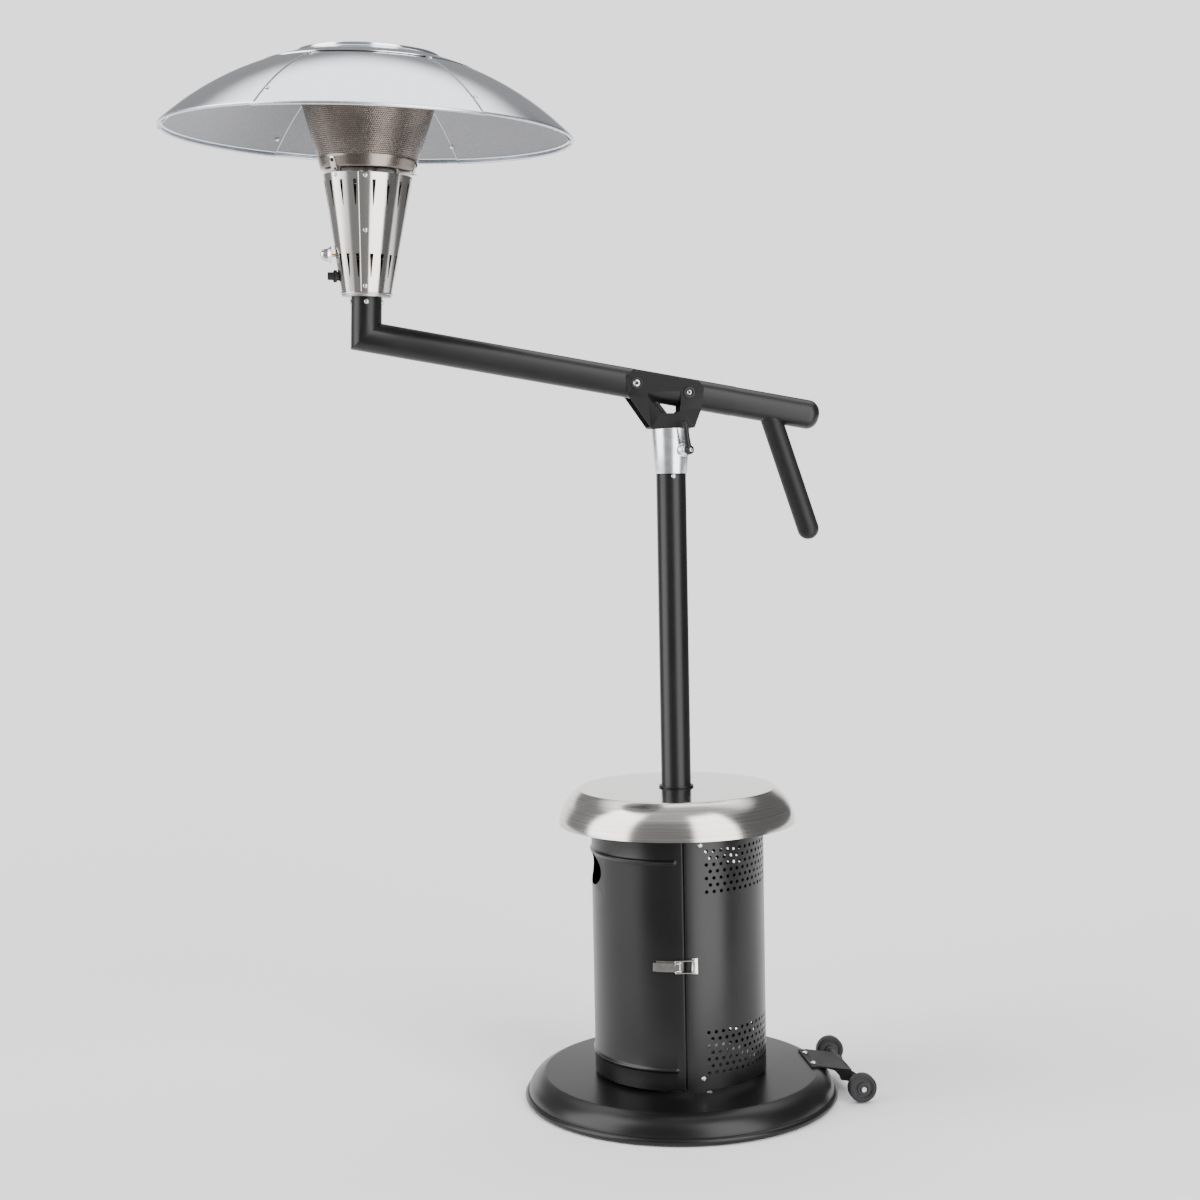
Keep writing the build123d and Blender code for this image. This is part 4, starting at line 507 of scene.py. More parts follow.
class Nodes:
    """A node tree that is being put together."""

    def __init__(self, tree):
        self.tree = tree
        self.tree.nodes.clear()

    def join(self, value, socket):
        """Links a value or sets a plain number, colour or vector."""
        if isinstance(value, Value):
            self.tree.links.new(value.socket, socket)
        elif isinstance(value, bpy.types.NodeSocket):
            self.tree.links.new(value, socket)
        elif value is not None:
            socket.default_value = value

    def add(self, kind, settings=None, inputs=None):
        """Any node, with its settings and then its inputs by name or number."""
        node = self.tree.nodes.new(kind)
        for key, value in (settings or {}).items():
            setattr(node, key, value)
        for key, value in (inputs or {}).items():
            self.join(value, node.inputs[key])
        return node


class Finish(Nodes):
    """A material that is being put together."""

    def __init__(self, name):
        self.material = bpy.data.materials.new(name)
        self.material.use_nodes = True
        super().__init__(self.material.node_tree)
        self.shader = self.add("ShaderNodeBsdfPrincipled")
        output = self.add("ShaderNodeOutputMaterial")
        self.tree.links.new(self.shader.outputs[0], output.inputs["Surface"])

    def set(self, **inputs):
        """Sets or links inputs of the shader; an underscore stands for a space."""
        for key, value in inputs.items():
            self.join(value, self.shader.inputs[key.replace("_", " ")])

    def spot(self, kind="Object", scale=(1, 1, 1)):
        """Texture coordinates, stretched."""
        if kind == "UV":
            source = self.add("ShaderNodeUVMap", {"uv_map": "surface"})
        else:
            source = self.add("ShaderNodeTexCoord")
        inputs = {"Vector": source.outputs[kind], "Scale": scale}
        return self.add("ShaderNodeMapping", inputs=inputs).outputs[0]

    def noise(self, where, scale, detail=2.0, rough=0.5):
        """A noise value from 0 to 1."""
        inputs = {"Vector": where, "Scale": scale, "Detail": detail, "Roughness": rough}
        return Value(self, self.add("ShaderNodeTexNoise", inputs=inputs).outputs["Fac"])

    def blend(self, amount, first, second):
        """A colour between two."""
        node = self.add("ShaderNodeMix", {"data_type": "RGBA"})
        self.join(amount, node.inputs["Factor"])
        for socket, tone in zip([s for s in node.inputs if s.type == "RGBA"], (first, second)):
            self.join(tone if isinstance(tone, bpy.types.NodeSocket) else (*tone, 1.0), socket)
        return next(s for s in node.outputs if s.type == "RGBA")

    def relief(self, height, distance):
        """Feeds the shader's normal from a height."""
        node = self.add("ShaderNodeBump", inputs={"Height": height, "Distance": distance, "Strength": 1.0})
        self.join(node.outputs[0], self.shader.inputs["Normal"])


def tinted(tone, factor):
    """A colour made lighter or darker."""
    return tuple(min(1.0, channel * factor) for channel in tone)


def powder(name, tone, rough, grain=0.00006, scale=420.0, gloss=0.32):
    """Sprayed paint: fine orange peel, a little dust and slow changes of gloss."""
    f = Finish(name)
    peel = f.noise(f.spot(), scale, 3.0)
    cloud = f.noise(f.spot(), 7.0, 4.0)
    dust = f.noise(f.spot(), 1900.0, 1.0).between(0.70, 0.80) * cloud.between(0.45, 0.7)
    tones = f.blend(cloud.between(0.3, 0.7), tinted(tone, 0.85), tinted(tone, 1.2))
    f.set(Base_Color=f.blend(dust * 0.35, tones, tinted(tone, 5.0)))
    f.set(Roughness=cloud * 0.10 + (rough - 0.05) + dust * 0.2, Specular_IOR_Level=gloss)
    f.relief(peel, grain)
    return f.material


def brushed(name, tone, rough, grain=2600.0, along=14.0, relief=0.000012, streak=0.16):
    """Brushed metal: long thin streaks along the surface's first coordinate."""
    f = Finish(name)
    fine = f.noise(f.spot("UV", (along, grain, 1)), 1.0, 3.0, 0.7)
    broad = f.noise(f.spot("UV", (along / 4, grain / 9, 1)), 1.0, 2.0)
    cloud = f.noise(f.spot(), 9.0, 3.0)
    mark = fine * 0.5 + broad * 0.5
    tones = f.blend(mark.between(0.3, 0.7), tinted(tone, 1 - streak), tinted(tone, 1 + streak / 2))
    f.set(Base_Color=f.blend(cloud.between(0.45, 0.8) * 0.35, tones, tinted(tone, 0.9)))
    f.set(Metallic=1.0, Roughness=mark * 0.16 + cloud * 0.05 + (rough - 0.10))
    f.relief(mark, relief)
    return f.material


def bright(name, tone, rough):
    """Rolled bright sheet: nearly a mirror, with faint streaks down the sheet and a slow waviness."""
    f = Finish(name)
    roll = f.noise(f.spot("UV", (900.0, 12.0, 1)), 1.0, 2.0)
    cloud = f.noise(f.spot(), 5.0, 3.0)
    swell = f.noise(f.spot(), 4.0, 1.0)
    f.set(Base_Color=f.blend(roll.between(0.35, 0.75), tinted(tone, 0.90), tone))
    f.set(Metallic=1.0, Roughness=roll * 0.08 + cloud * 0.10 + (rough - 0.07))
    f.relief(swell + roll * 0.004, 0.0006)
    return f.material


def lining(name, tone):
    """Dull mill side of the reflector sheet, with faint spangle."""
    f = Finish(name)
    spangle = f.noise(f.spot(), 160.0, 4.0)
    cloud = f.noise(f.spot(), 6.0, 3.0)
    f.set(Base_Color=f.blend(spangle.between(0.35, 0.7), tinted(tone, 0.94), tinted(tone, 1.05)))
    f.set(Metallic=0.25, Roughness=cloud * 0.12 + 0.46, Specular_IOR_Level=0.3)
    f.relief(spangle, 0.00002)
    return f.material


def perforated(name, tone, pitch=0.0044):
    """Fine perforated sheet: staggered round holes with a raised burr; the holes are painted near-black as
    painted shade in their pits.
    """
    f = Finish(name)
    place = f.add("ShaderNodeSeparateXYZ", inputs={0: f.spot("UV")})
    u, v = Value(f, place.outputs[0]), Value(f, place.outputs[1])
    level = v / (pitch * 0.866)
    row = level.math("FLOOR")
    shift = (row / 2.0).math("FRACT")
    x = (u + shift).math("FRACT") - 0.5
    y = (level.math("FRACT") - 0.5) * 0.866
    away = (x * x + y * y).math("SQRT")
    hole = 1 - away.between(0.20, 0.30)
    burr = away.between(0.24, 0.30) * (1 - away.between(0.30, 0.44))
    cloud = f.noise(f.spot(), 14.0, 4.0)
    heat = f.blend(cloud.between(0.35, 0.7), tinted(tone, 0.8), tinted(tone, 1.25))
    # painted shade: each hole's pit is painted near-black
    f.set(Base_Color=f.blend(hole * 0.93, heat, (0.006, 0.005, 0.004)))
    dent = f.noise(f.spot(), 330.0, 2.0)
    f.set(Metallic=1.0, Roughness=cloud * 0.12 + hole * 0.4 + 0.12)
    f.relief(burr * 0.6 - hole + dent * 1.3, 0.0006)
    return f.material


def plated(name, tone, rough):
    """Plated or machined metal with small scuffs."""
    f = Finish(name)
    scuff = f.noise(f.spot(), 700.0, 3.0)
    cloud = f.noise(f.spot(), 60.0, 3.0)
    f.set(Base_Color=f.blend(cloud.between(0.35, 0.7), tinted(tone, 0.88), tinted(tone, 1.08)))
    f.set(Metallic=1.0, Roughness=scuff * 0.12 + (rough - 0.06))
    f.relief(scuff, 0.00001)
    return f.material


def moulded(name, tone, rough, grain=0.00003, scale=900.0):
    """Moulded plastic or rubber: spark-eroded grain and a soft sheen."""
    f = Finish(name)
    skin = f.noise(f.spot(), scale, 3.0)
    cloud = f.noise(f.spot(), 25.0, 3.0)
    f.set(Base_Color=f.blend(cloud, tinted(tone, 0.8), tinted(tone, 1.4)))
    f.set(Roughness=skin * 0.14 + (rough - 0.07), Specular_IOR_Level=0.3)
    f.relief(skin, grain)
    return f.material


def studio_floor(name, tone):
    """Seamless pale floor with the faintest mottling."""
    f = Finish(name)
    cloud = f.noise(f.spot(), 0.8, 3.0)
    f.set(Base_Color=f.blend(cloud, tinted(tone, 0.985), tone), Roughness=1.0, Specular_IOR_Level=0.0)
    return f.material


FINISHES = {
    "satin_black": (powder, "black", 1, dict(rough=0.34)),
    "housing_paint": (powder, "black", 1, dict(rough=0.30, gloss=0.34)),
    "gloss_black": (powder, "base", 1, dict(rough=0.30, grain=0.00004, scale=300.0)),
    "wrinkle_black": (powder, "base", 1, dict(rough=0.50, grain=0.00018, scale=900.0, gloss=0.2)),
    "frame_grey": (powder, (0.18, 0.18, 0.19), 1, dict(rough=0.45)),
    "cast_iron": (powder, (0.10, 0.09, 0.09), 1, dict(rough=0.75, grain=0.0004, scale=160.0)),
    "brushed_steel": (brushed, "steel", 1, dict(rough=0.15, grain=2400.0, along=9.0, streak=0.24)),
    "cone_steel": (
        brushed, "steel", 1, dict(rough=0.12, grain=1500.0, along=20.0, relief=0.000006, streak=0.08)
    ),
    "band_steel": (brushed, "emitter", 1.1, dict(rough=0.26, grain=900.0, along=20.0)),
    # painted shade: near-black steel for the cone's inner side and slot walls and for the emitter tabs'
    # screws
    "scorched_steel": (brushed, (0.055, 0.047, 0.042), 1, dict(rough=0.45, grain=900.0, along=20.0)),
    "inner_steel": (brushed, "steel", 0.8, dict(rough=0.38, grain=900.0, along=20.0)),
    "swivel_alloy": (plated, (0.80, 0.82, 0.85), 1, dict(rough=0.26)),
    "emitter_mesh": (perforated, "emitter", 1, {}),
    "dome_bright": (bright, "aluminium", 1, dict(rough=0.12)),
    "dome_lining": (lining, "lining", 1, {}),
    "dome_bead": (brushed, "aluminium", 0.85, dict(rough=0.30, grain=60.0, along=700.0, relief=0.00004)),
    "zinc_plate": (plated, "zinc", 1, dict(rough=0.28)),
    "sprung_steel": (plated, (0.58, 0.56, 0.53), 1, dict(rough=0.16)),
    "chrome": (plated, (0.90, 0.90, 0.92), 1, dict(rough=0.10)),
    "turned_brass": (plated, "brass", 1, dict(rough=0.30)),
    "plastic": (moulded, "plastic", 1, dict(rough=0.42)),
    "tyre": (moulded, (0.018, 0.018, 0.019), 1, dict(rough=0.55, grain=0.00005, scale=500.0)),
    "wheel_rim": (moulded, (0.03, 0.03, 0.032), 1, dict(rough=0.40)),
    "rubber": (moulded, (0.014, 0.014, 0.015), 1, dict(rough=0.60, grain=0.00005, scale=600.0)),
    "grip": (moulded, "black", 1, dict(rough=0.50, grain=0.00004, scale=700.0)),
    "bush": (moulded, (0.72, 0.70, 0.66), 1, dict(rough=0.50)),
    "floor": (studio_floor, "floor", 1, {}),
}
made = {}


def finish_of(name):
    """The material of this name, made once from its maker, its colour, a factor on it and its settings."""
    if name not in made:
        maker, tone, factor, settings = FINISHES[name]
        if isinstance(tone, str):
            tone = getattr(bpy.context.scene.heater_colours, tone)
        made[name] = maker(name, tinted(tone, factor), **settings)
    return made[name]


UP = np.array([0.0, 0.0, 1.0])
ACROSS = np.array([0.0, 1.0, 0.0])
POST = Place((0, 0, 0), (1, 0, 0), UP)
TAB_ANGLES = [radians(angle) for angle in (-45, 75, 195)]


def head_place(sizes):
    """Axes of the burner head: z up the head from the elbow, x to the near side.

    The knob's axis lies across the head, so up is square to it: up = (t x y) cos a - y sin a, with t towards
    the post, y the model's Y and a the head's lean to the near side.
    """
    knob = joint("knob_turn")
    towards_post = -np.array(knob["axis"])
    up = np.cross(towards_post, ACROSS) * cos(sizes.head_lean) - ACROSS * sin(sizes.head_lean)
    elbow = np.array(knob["pos_m"]) - up * sizes.knob_height + towards_post * sizes.knob_reach
    return Place(elbow, -ACROSS, up)


def arm_place(sizes):
    """Axes of the arm where it crosses the post: z along the arm to the head, x up."""
    rise = sizes.arm_rise
    elbow = head_place(sizes).origin
    crossing = (0, 0, elbow[2] + elbow[0] * tan(rise))
    return Place(crossing, (sin(rise), 0, cos(rise)), (-cos(rise), 0, sin(rise)))


def screw(piece, place, radius, height, finish=0, recess="cross"):
    """Pan head: a low dome h (1 - 0.6 r^2) with a recess pressed in, over a short upright rim."""
    rings = np.array([0, 0.16, 0.30, 0.38, 0.42, 0.47, 0.52, 0.60, 0.72, 0.86, 0.95, 1.0])
    angles = np.linspace(0, 2 * pi, 32, endpoint=False)
    r, a = np.meshgrid(rings, angles)
    x, y = r * np.cos(a), r * np.sin(a)
    z = height * (1 - 0.45 * r**2 - 0.35 * r**8)
    if recess == "cross":
        wide, tall = np.abs(x), np.abs(y)
        bar = np.minimum(np.maximum(wide / 0.62, tall / 0.16), np.maximum(tall / 0.62, wide / 0.16))
    else:
        bar = np.abs(np.cos(np.mod(a, pi / 3) - pi / 6)) * r / 0.42
    z = z - height * 0.7 * np.clip((1.12 - bar) / 0.2, 0, 1)
    foot = polar(radius, angles, -0.0004)
    dome = np.stack([x * radius, y * radius, z], -1)
    points = np.concatenate([dome, foot[:, None]], 1)
    quads, corners = grid_faces(32, len(rings) + 1, True, False)
    piece.faces(place.at(points), quads, corners * 0.001, finish)
    piece.faces(place.at(foot), [np.arange(32)[::-1]], finish=finish)


def disc(piece, place, radius, height, edge=0.0005, finish=0, steps=40, bore=0.0):
    """A turned disc or ring with rounded edges, standing on its place."""
    corners = [(bore, 0), (radius, 0), (radius, height), (bore, height)]
    piece.lathe(rounded(corners, edge, 4), place, steps, finish=finish)


def nut(piece, place, across, height, finish=0):
    """A hexagon with chamfered corners: the outline's corners are drawn in at top and bottom."""
    angles = np.linspace(0, 2 * pi, 48, endpoint=False)
    flat = across / 2 / np.cos(np.mod(angles, pi / 3) - pi / 6)
    edge = np.minimum(flat, across / 2 * 1.06)
    low, high = height * 0.15, height * 0.85
    rows = [(edge * 0, 0), (edge, 0), (flat, low), (flat, high), (edge, height), (edge * 0, height)]
    points = np.stack([polar(r, angles, h) for r, h in rows], 1)
    quads, corners = grid_faces(48, len(rows), True, False)
    piece.faces(place.at(points), quads, corners * 0.001, finish)


def on_wall(head, angle, radius, height, slope):
    """Axes on a cone's wall that widens by slope: z = out cos t - up sin t, with tan t the slope."""
    flat, tilt = head.facing(angle, radius, height), atan2(slope, 1)
    return Place(flat.origin, flat.x, flat.z * cos(tilt) - head.z * sin(tilt))


def round_end(radius, end, curve, steps):
    """Profile of a bar's rounded end: a quarter circle from the side to the end."""
    return (radius - curve, end - curve) + polar(curve, np.radians(np.linspace(0, 90, steps)))


def sheet_lines(half, lip, *lines):
    """Lines across a sheet that folds inwards by lip past its edges at half, with the folds' own lines."""
    fold = half + np.linspace(0.0006, lip, 8)
    return np.unique(np.round(np.concatenate([-fold, *lines, fold]), 6))


def sheet_edge(s, edge, radius, bend=0.0015):
    """Angle and radius of a sheet that follows the housing and folds inwards past its edges.

    Past an edge the sheet turns through a quarter circle and then runs straight towards the middle.
    """
    past = np.maximum(np.abs(s) - edge, 0)
    swing = np.minimum(past / bend, pi / 2)
    sideways = bend * np.sin(swing)
    inwards = bend * (1 - np.cos(swing)) + np.maximum(past - bend * pi / 2, 0)
    return np.sign(s) * (np.minimum(np.abs(s), edge) + sideways) / radius, radius - inwards


class HEATER_OT_base(Operator):
    """Base cover with its rolled rim, and the ballast under it"""

    bl_idname = "heater.base"
    bl_label = "Base"

    def execute(self, context):
        s = context.scene.heater_sizes
        low, high = box("base_cover")
        bead_x, bead_z = s.base_radius - s.base_bead, low[2] + s.base_bead
        top = high[2]
        wall, bulge_x, bulge_z = 0.002, 0.006, 0.009
        side = ((s.base_top_radius + bead_x) / 2 + bulge_x, (top + bead_z) / 2 + bulge_z)
        skirt = arc((s.base_top_radius, top), side, (bead_x + 0.001, bead_z + 0.001), 18)
        crown = rounded(np.vstack([[(0.0, top)], skirt]), 0.008, 7, closed=False)
        angles = np.radians(np.linspace(80, -215, 22))
        roll = (bead_x, bead_z) + polar(s.base_bead, angles)
        inside = (skirt - (wall, wall))[::-1]
        profile = np.vstack([crown[:-2], roll, inside[1:], [(0.0, top - wall)]])
        piece = Piece("base_cover_skin", "stand", "gloss_black")
        piece.lathe(profile, POST, 160, closed=False)
        piece.done("base_cover", sharp=50)
        as_modelled("ballast", "casting", "stand", "cast_iron", 0.002)
        return {"FINISHED"}


class HEATER_OT_housing(Operator):
    """Rear panel of the housing with all its round holes, its folded edges and its foot tabs"""

    bl_idname = "heater.housing"
    bl_label = "Rear panel"

    def execute(self, context):
        s = context.scene.heater_sizes
        low, high = box("rear_panel")
        bottom = box("door")[0][2]
        radius = s.housing_radius
        half = (pi - s.door_half) * radius - s.seam_gap
        quarter = s.vent_pitch / 4
        reach = int(s.vent_half * radius / quarter)
        plain = rows_of((reach * quarter, half, 0.004))
        columns = sheet_lines(half, s.seam_lip - 0.001, -plain, np.arange(-reach, reach + 1) * quarter, plain)
        rise = s.vent_row / 4
        bands = [s.vent_low + rise * np.arange(-2, 27), s.vent_high - rise * np.arange(-2, 27)[::-1]]
        ends = (bottom, bands[0][0]), (bands[0][-1], bands[1][0]), (bands[1][-1], high[2])
        rows = np.concatenate([*bands, *[rows_of((a, b, 0.02)) for a, b in ends]])
        rows = np.unique(np.round(rows, 6))
        blocks = []
        first = near(columns, -reach * quarter)
        for band in bands:
            for level in range(7):
                row = near(rows, band[0] + level * s.vent_row)
                shift = 2 * (level % 2)
                left = first + shift + 4 * np.arange((2 * reach - shift) // 4)
                blocks += [(i, i + 4, row, row + 4) for i in left]

        def vent(edge):
            """A round hole: each edge point is drawn in to the hole's radius."""
            return unit(edge * (1, 0.85)) * s.vent_radius

        points, quads = pierced(columns, rows, [(blocks, vent)])
        angle, out = sheet_edge(points[:, 0], half, radius)
        piece = Piece("rear_panel_sheet", "stand", "housing_paint")
        piece.faces(polar(out, angle, points[:, 1]), quads, points[quads])
        past, depth = np.array([0.0140, 0.0016, 0.0016]), np.array([0.0105, 0.0105, 0.0080])
        flange = polar(radius - depth, -(half + past) / radius)
        stop = np.array([[(*spot, z) for z in (bottom + 0.001, high[2] - 0.001)] for spot in flange])
        faces, corners = grid_faces(3, 2)
        piece.faces(stop, faces, corners * 0.01)
        tab = 0.028 / radius * np.linspace(-0.5, 0.5, 9)
        for middle in radians(-87.5), 0.0, radians(87.5):
            a, z = np.meshgrid(middle + tab, [low[2] + 0.0002, bottom], indexing="ij")
            faces, corners = grid_faces(9, 2)
            piece.faces(polar(radius, a, z), faces, corners * 0.01)
        piece.done("rear_panel", wall=s.sheet, recalculate=False)
        return {"FINISHED"}


class HEATER_OT_door(Operator):
    """Door of the housing with its pressed beads, hand hole and folded edges"""

    bl_idname = "heater.door"
    bl_label = "Door"

    def execute(self, context):
        s = context.scene.heater_sizes
        low, high = box("door")
        radius = s.housing_radius
        half = s.door_half * radius
        bead_end = half - radians(5.5) * radius
        beads = (low[2] + s.bead_inset - 0.008, high[2] - s.bead_inset)
        hole_z = high[2] - s.hand_hole_drop
        wide, tall = s.hand_hole_width / 2 + 0.012, s.hand_hole_height / 2 + 0.010
        w = s.door_bead
        bead_in, bead_out = bead_end - w, bead_end + w
        edge_lines = rows_of((wide, bead_in, 0.006), (bead_in, bead_out, 0.0009), (bead_out, half, 0.003))
        middle_lines = rows_of((-wide, wide, wide / 12))
        columns = sheet_lines(half, s.seam_lip - 0.001, -edge_lines, middle_lines, edge_lines)
        marks = [low[2], beads[0] - w, beads[0] + w, hole_z - tall, hole_z + tall, beads[1] - w, beads[1] + w]
        marks.append(high[2])
        steps = [0.02, w / 7, 0.03, tall / 8, 0.01, w / 7, 0.02]
        marks[4] = min(marks[4], marks[5])
        rows = rows_of(*[(a, b, step) for a, b, step in zip(marks, marks[1:], steps) if b > a])
        block = near(columns, -wide), near(columns, wide), near(rows, hole_z - tall), near(rows, marks[4])
        centre = (rows[block[2]] + rows[block[3]]) / 2

        def ellipse(edge):
            """The hand hole: x = a cos t and y = b sin t, with half its width and height as a and b."""
            return unit(edge) * (s.hand_hole_width / 2, s.hand_hole_height / 2) + (0, hole_z - centre)

        points, quads = pierced(columns, rows, [([block], ellipse)])
        angle, out = sheet_edge(points[:, 0], half, radius)
        for height in beads:
            away = np.hypot(np.maximum(np.abs(points[:, 0]) - bead_end, 0), points[:, 1] - height)
            out = out + s.door_bead_rise * 0.5 * (1 + np.cos(pi * np.clip(away / w, 0, 1)))
        piece = Piece("door_sheet", "door", "housing_paint")
        piece.faces(polar(out, pi + angle, points[:, 1]), quads, points[quads])
        piece.done("door", wall=s.sheet, recalculate=False)
        return {"FINISHED"}


class HEATER_OT_hinges(Operator):
    """Door hinges and the draw latch, with rounded edges"""

    bl_idname = "heater.hinges"
    bl_label = "Hinges and latch"

    def execute(self, context):
        for node, body, finish, edge in (
            ("fixed_leaves", "stand", "housing_paint", 0.0004),
            ("door_leaves", "door", "housing_paint", 0.0004),
            ("hinge_pins", "stand", "zinc_plate", 0.0003),
            ("latch_base", "door", "sprung_steel", 0.0003),
            ("latch_lever", "latch_lever", "sprung_steel", 0.0004),
            ("latch_bail", "latch_bail", "sprung_steel", None),
            ("latch_keeper", "stand", "sprung_steel", 0.0003),
        ):
            as_modelled(node, "metal", body, finish, edge)
        return {"FINISHED"}


class HEATER_OT_table(Operator):
    """Spun steel table with its flat top and deep rounded edge"""

    bl_idname = "heater.table"
    bl_label = "Table"

    def execute(self, context):
        s = context.scene.heater_sizes
        low, high = box("table")
        radius, top, rim, flat = float(high[0]), high[2], low[2], s.table_flat
        bore = s.post_radius + 0.0005
        bulge = 0.007
        bend = np.array([(flat + radius) / 2 + bulge, (top + rim) / 2 + bulge])
        edge = arc((flat, top), bend, (radius, rim), 26)
        crown = rounded(np.vstack([[(bore, top)], edge]), 0.004, 6, closed=False)
        inner = arc((flat - 0.001, top - s.sheet), bend - s.sheet, (radius - s.sheet, rim + 0.0003), 26)
        hem = [(radius - 0.0003, rim), (radius - s.sheet + 0.0003, rim)]
        profile = np.vstack([crown, hem, inner[::-1], [(bore, top - s.sheet)]])
        flatten = np.stack([np.linspace(bore, flat - 0.01, 12)[1:], np.full(11, top)], 1)
        profile = np.vstack([profile[:1], flatten, profile[1:]])
        piece = Piece("table_top", "stand", "brushed_steel")
        piece.lathe(profile, POST, 192)
        piece.done("table", sharp=60)
        return {"FINISHED"}


class HEATER_OT_post(Operator):
    """Post, its ring on the table, and the small screws under the swivel"""

    bl_idname = "heater.post"
    bl_label = "Post"

    def execute(self, context):
        s = context.scene.heater_sizes
        low, high = box("post")
        wall = 0.002
        foot = float(high[0])
        r = s.post_radius
        corners = [
            (r - wall, low[2]), (foot, low[2]), (foot, low[2] + 0.006), (r, low[2] + 0.006),
            (r, high[2]), (r - wall, high[2]),
        ]
        piece = Piece("post_tube", "stand", "satin_black")
        piece.lathe(rounded(corners, 0.0008, 3), POST, 72)
        piece.done("post", sharp=40)
        low, high = box("post_collar")
        piece = Piece("post_ring", "stand", "satin_black")
        disc(piece, POST.moved(z=low[2]), float(high[0]), high[2] - low[2], 0.0012, steps=72, bore=r + 0.0001)
        piece.done("post_collar", sharp=40)
        low, high = box("stop_screws")
        piece = Piece("stop_screw_heads", "stand", "zinc_plate")
        for side in (-pi / 2, pi / 2):
            screw(piece, POST.facing(side, r, (low[2] + high[2]) / 2), 0.0048, 0.0028, recess="hex")
        piece.done("stop_screws")
        return {"FINISHED"}


class HEATER_OT_swivel(Operator):
    """Swivel collar with its boss, and the clamp lever with its toothed hub"""

    bl_idname = "heater.swivel"
    bl_label = "Swivel collar"

    def execute(self, context):
        s = context.scene.heater_sizes
        low, high = box("collar")
        clamp = joint("clamp_turn")
        out = np.array(clamp["axis"])
        height = clamp["pos_m"][2]
        inner = s.post_radius + 0.0020
        low_radius, high_radius = 0.033, 0.0395
        corners = [(low_radius, low[2]), (high_radius, high[2]), (inner, high[2]), (inner, low[2])]
        piece = Piece("collar_casting", "arm", "swivel_alloy")
        piece.lathe(rounded(corners, 0.0015, 5), POST, 96)
        facing = Place((0, 0, height), UP, out)
        boss_root, boss, boss_radius, boss_bore = 0.034, 0.0465, 0.0135, 0.0055
        body = [(boss_bore, boss_root), (boss_radius, boss_root), (boss_radius, boss), (boss_bore, boss)]
        piece.lathe(rounded(body, 0.0012, 4), facing, 48)
        piece.done("collar", sharp=40)
        piece = Piece("clamp_lever_set", "clamp_lever", "plastic", "zinc_plate")
        upright = Place(facing.origin, np.cross(UP, out), out)
        hub = boss + 0.0003
        teeth = np.linspace(0, 2 * pi, 120, endpoint=False)
        ring = 0.0112 * (1 + 0.035 * np.sign(np.sin(teeth * 20)))
        piece.plate([polar(ring, teeth)], 0.0055, 0.0002, upright.moved(z=hub + 0.0028), finish=1)
        cap = rounded([(0, 0), (0.0096, 0), (0.0090, 0.0095), (0, 0.0105)], 0.0016, 5, closed=False)
        piece.lathe(cap, upright.moved(z=hub + 0.0055), 48, closed=False)
        screw(piece, upright.moved(z=hub + 0.0158), 0.0042, 0.0012, finish=1, recess="hex")
        lean, reach, t = radians(16.0), 0.061, np.linspace(0, 1, 24)
        rise = hub + 0.0095 + 0.006 * np.sin(t * pi / 2) ** 2
        path = upright.at(np.stack([-sin(lean) * t * reach, cos(lean) * t * reach, rise], 1))
        width = 0.0066 - 0.0026 * t + 0.0012 * np.exp(-(((t - 0.9) / 0.08) ** 2))
        width = width * np.sqrt(np.clip((1 - t) / 0.05, 0, 1))
        piece.tube(path, np.maximum(width, 1e-5), np.cross(unit(path[-1] - path[0]), out), 24)
        thread = [(0, 0.030), (0.005, 0.030), (0.005, hub + 0.001), (0, hub + 0.001)]
        piece.lathe(thread, facing, 24, closed=False, finish=1)
        piece.done("clamp_lever", sharp=40)
        return {"FINISHED"}


class HEATER_OT_bracket(Operator):
    """Arm bracket with its window, and its two through bolts"""

    bl_idname = "heater.bracket"
    bl_label = "Arm bracket"

    def execute(self, context):
        s = context.scene.heater_sizes
        arm = arm_place(s)
        as_modelled("bracket", "fold", "arm", "wrinkle_black", 0.0008)
        near_face, far_face = (corner[1] for corner in box("bracket"))
        piece = Piece("arm_bolt_set", "arm", "zinc_plate", "plastic")
        for along, size, head in ((0.0736, 0.010, 0.0076), (-0.0356, 0.008, 0.0056)):
            centre = arm.at((0, 0, along))
            front = Place((centre[0], near_face, centre[2]), UP, (0, -1, 0))
            # raised ring round the head: its recess casts real shade, and its black plastic adds painted
            # shade there
            disc(piece, front, 0.0118, 0.0018, 0.0007, finish=1, bore=head * 1.12)
            screw(piece, front.moved(z=0.0004), head, size * 0.4, recess="hex")
            # painted shade: a black disc on the floor of the hex socket
            disc(piece, front.moved(z=0.0004 + size * 0.16), head * 0.38, 0.0003, 0.0001, finish=1, steps=24)
            back = Place((centre[0], far_face, centre[2]), UP, (0, 1, 0))
            disc(piece, back, size * 1.06, 0.0010, 0.0003, finish=1)
            nut(piece, back.moved(z=0.0010), size * 1.6, size * 0.72)
            shank = [(0, 0), (size / 2, 0), (size / 2, far_face - near_face), (0, far_face - near_face)]
            piece.lathe(shank, Place((centre[0], near_face, centre[2]), UP, (0, 1, 0)), 24, closed=False)
        piece.done("arm_bolts", sharp=40)
        return {"FINISHED"}


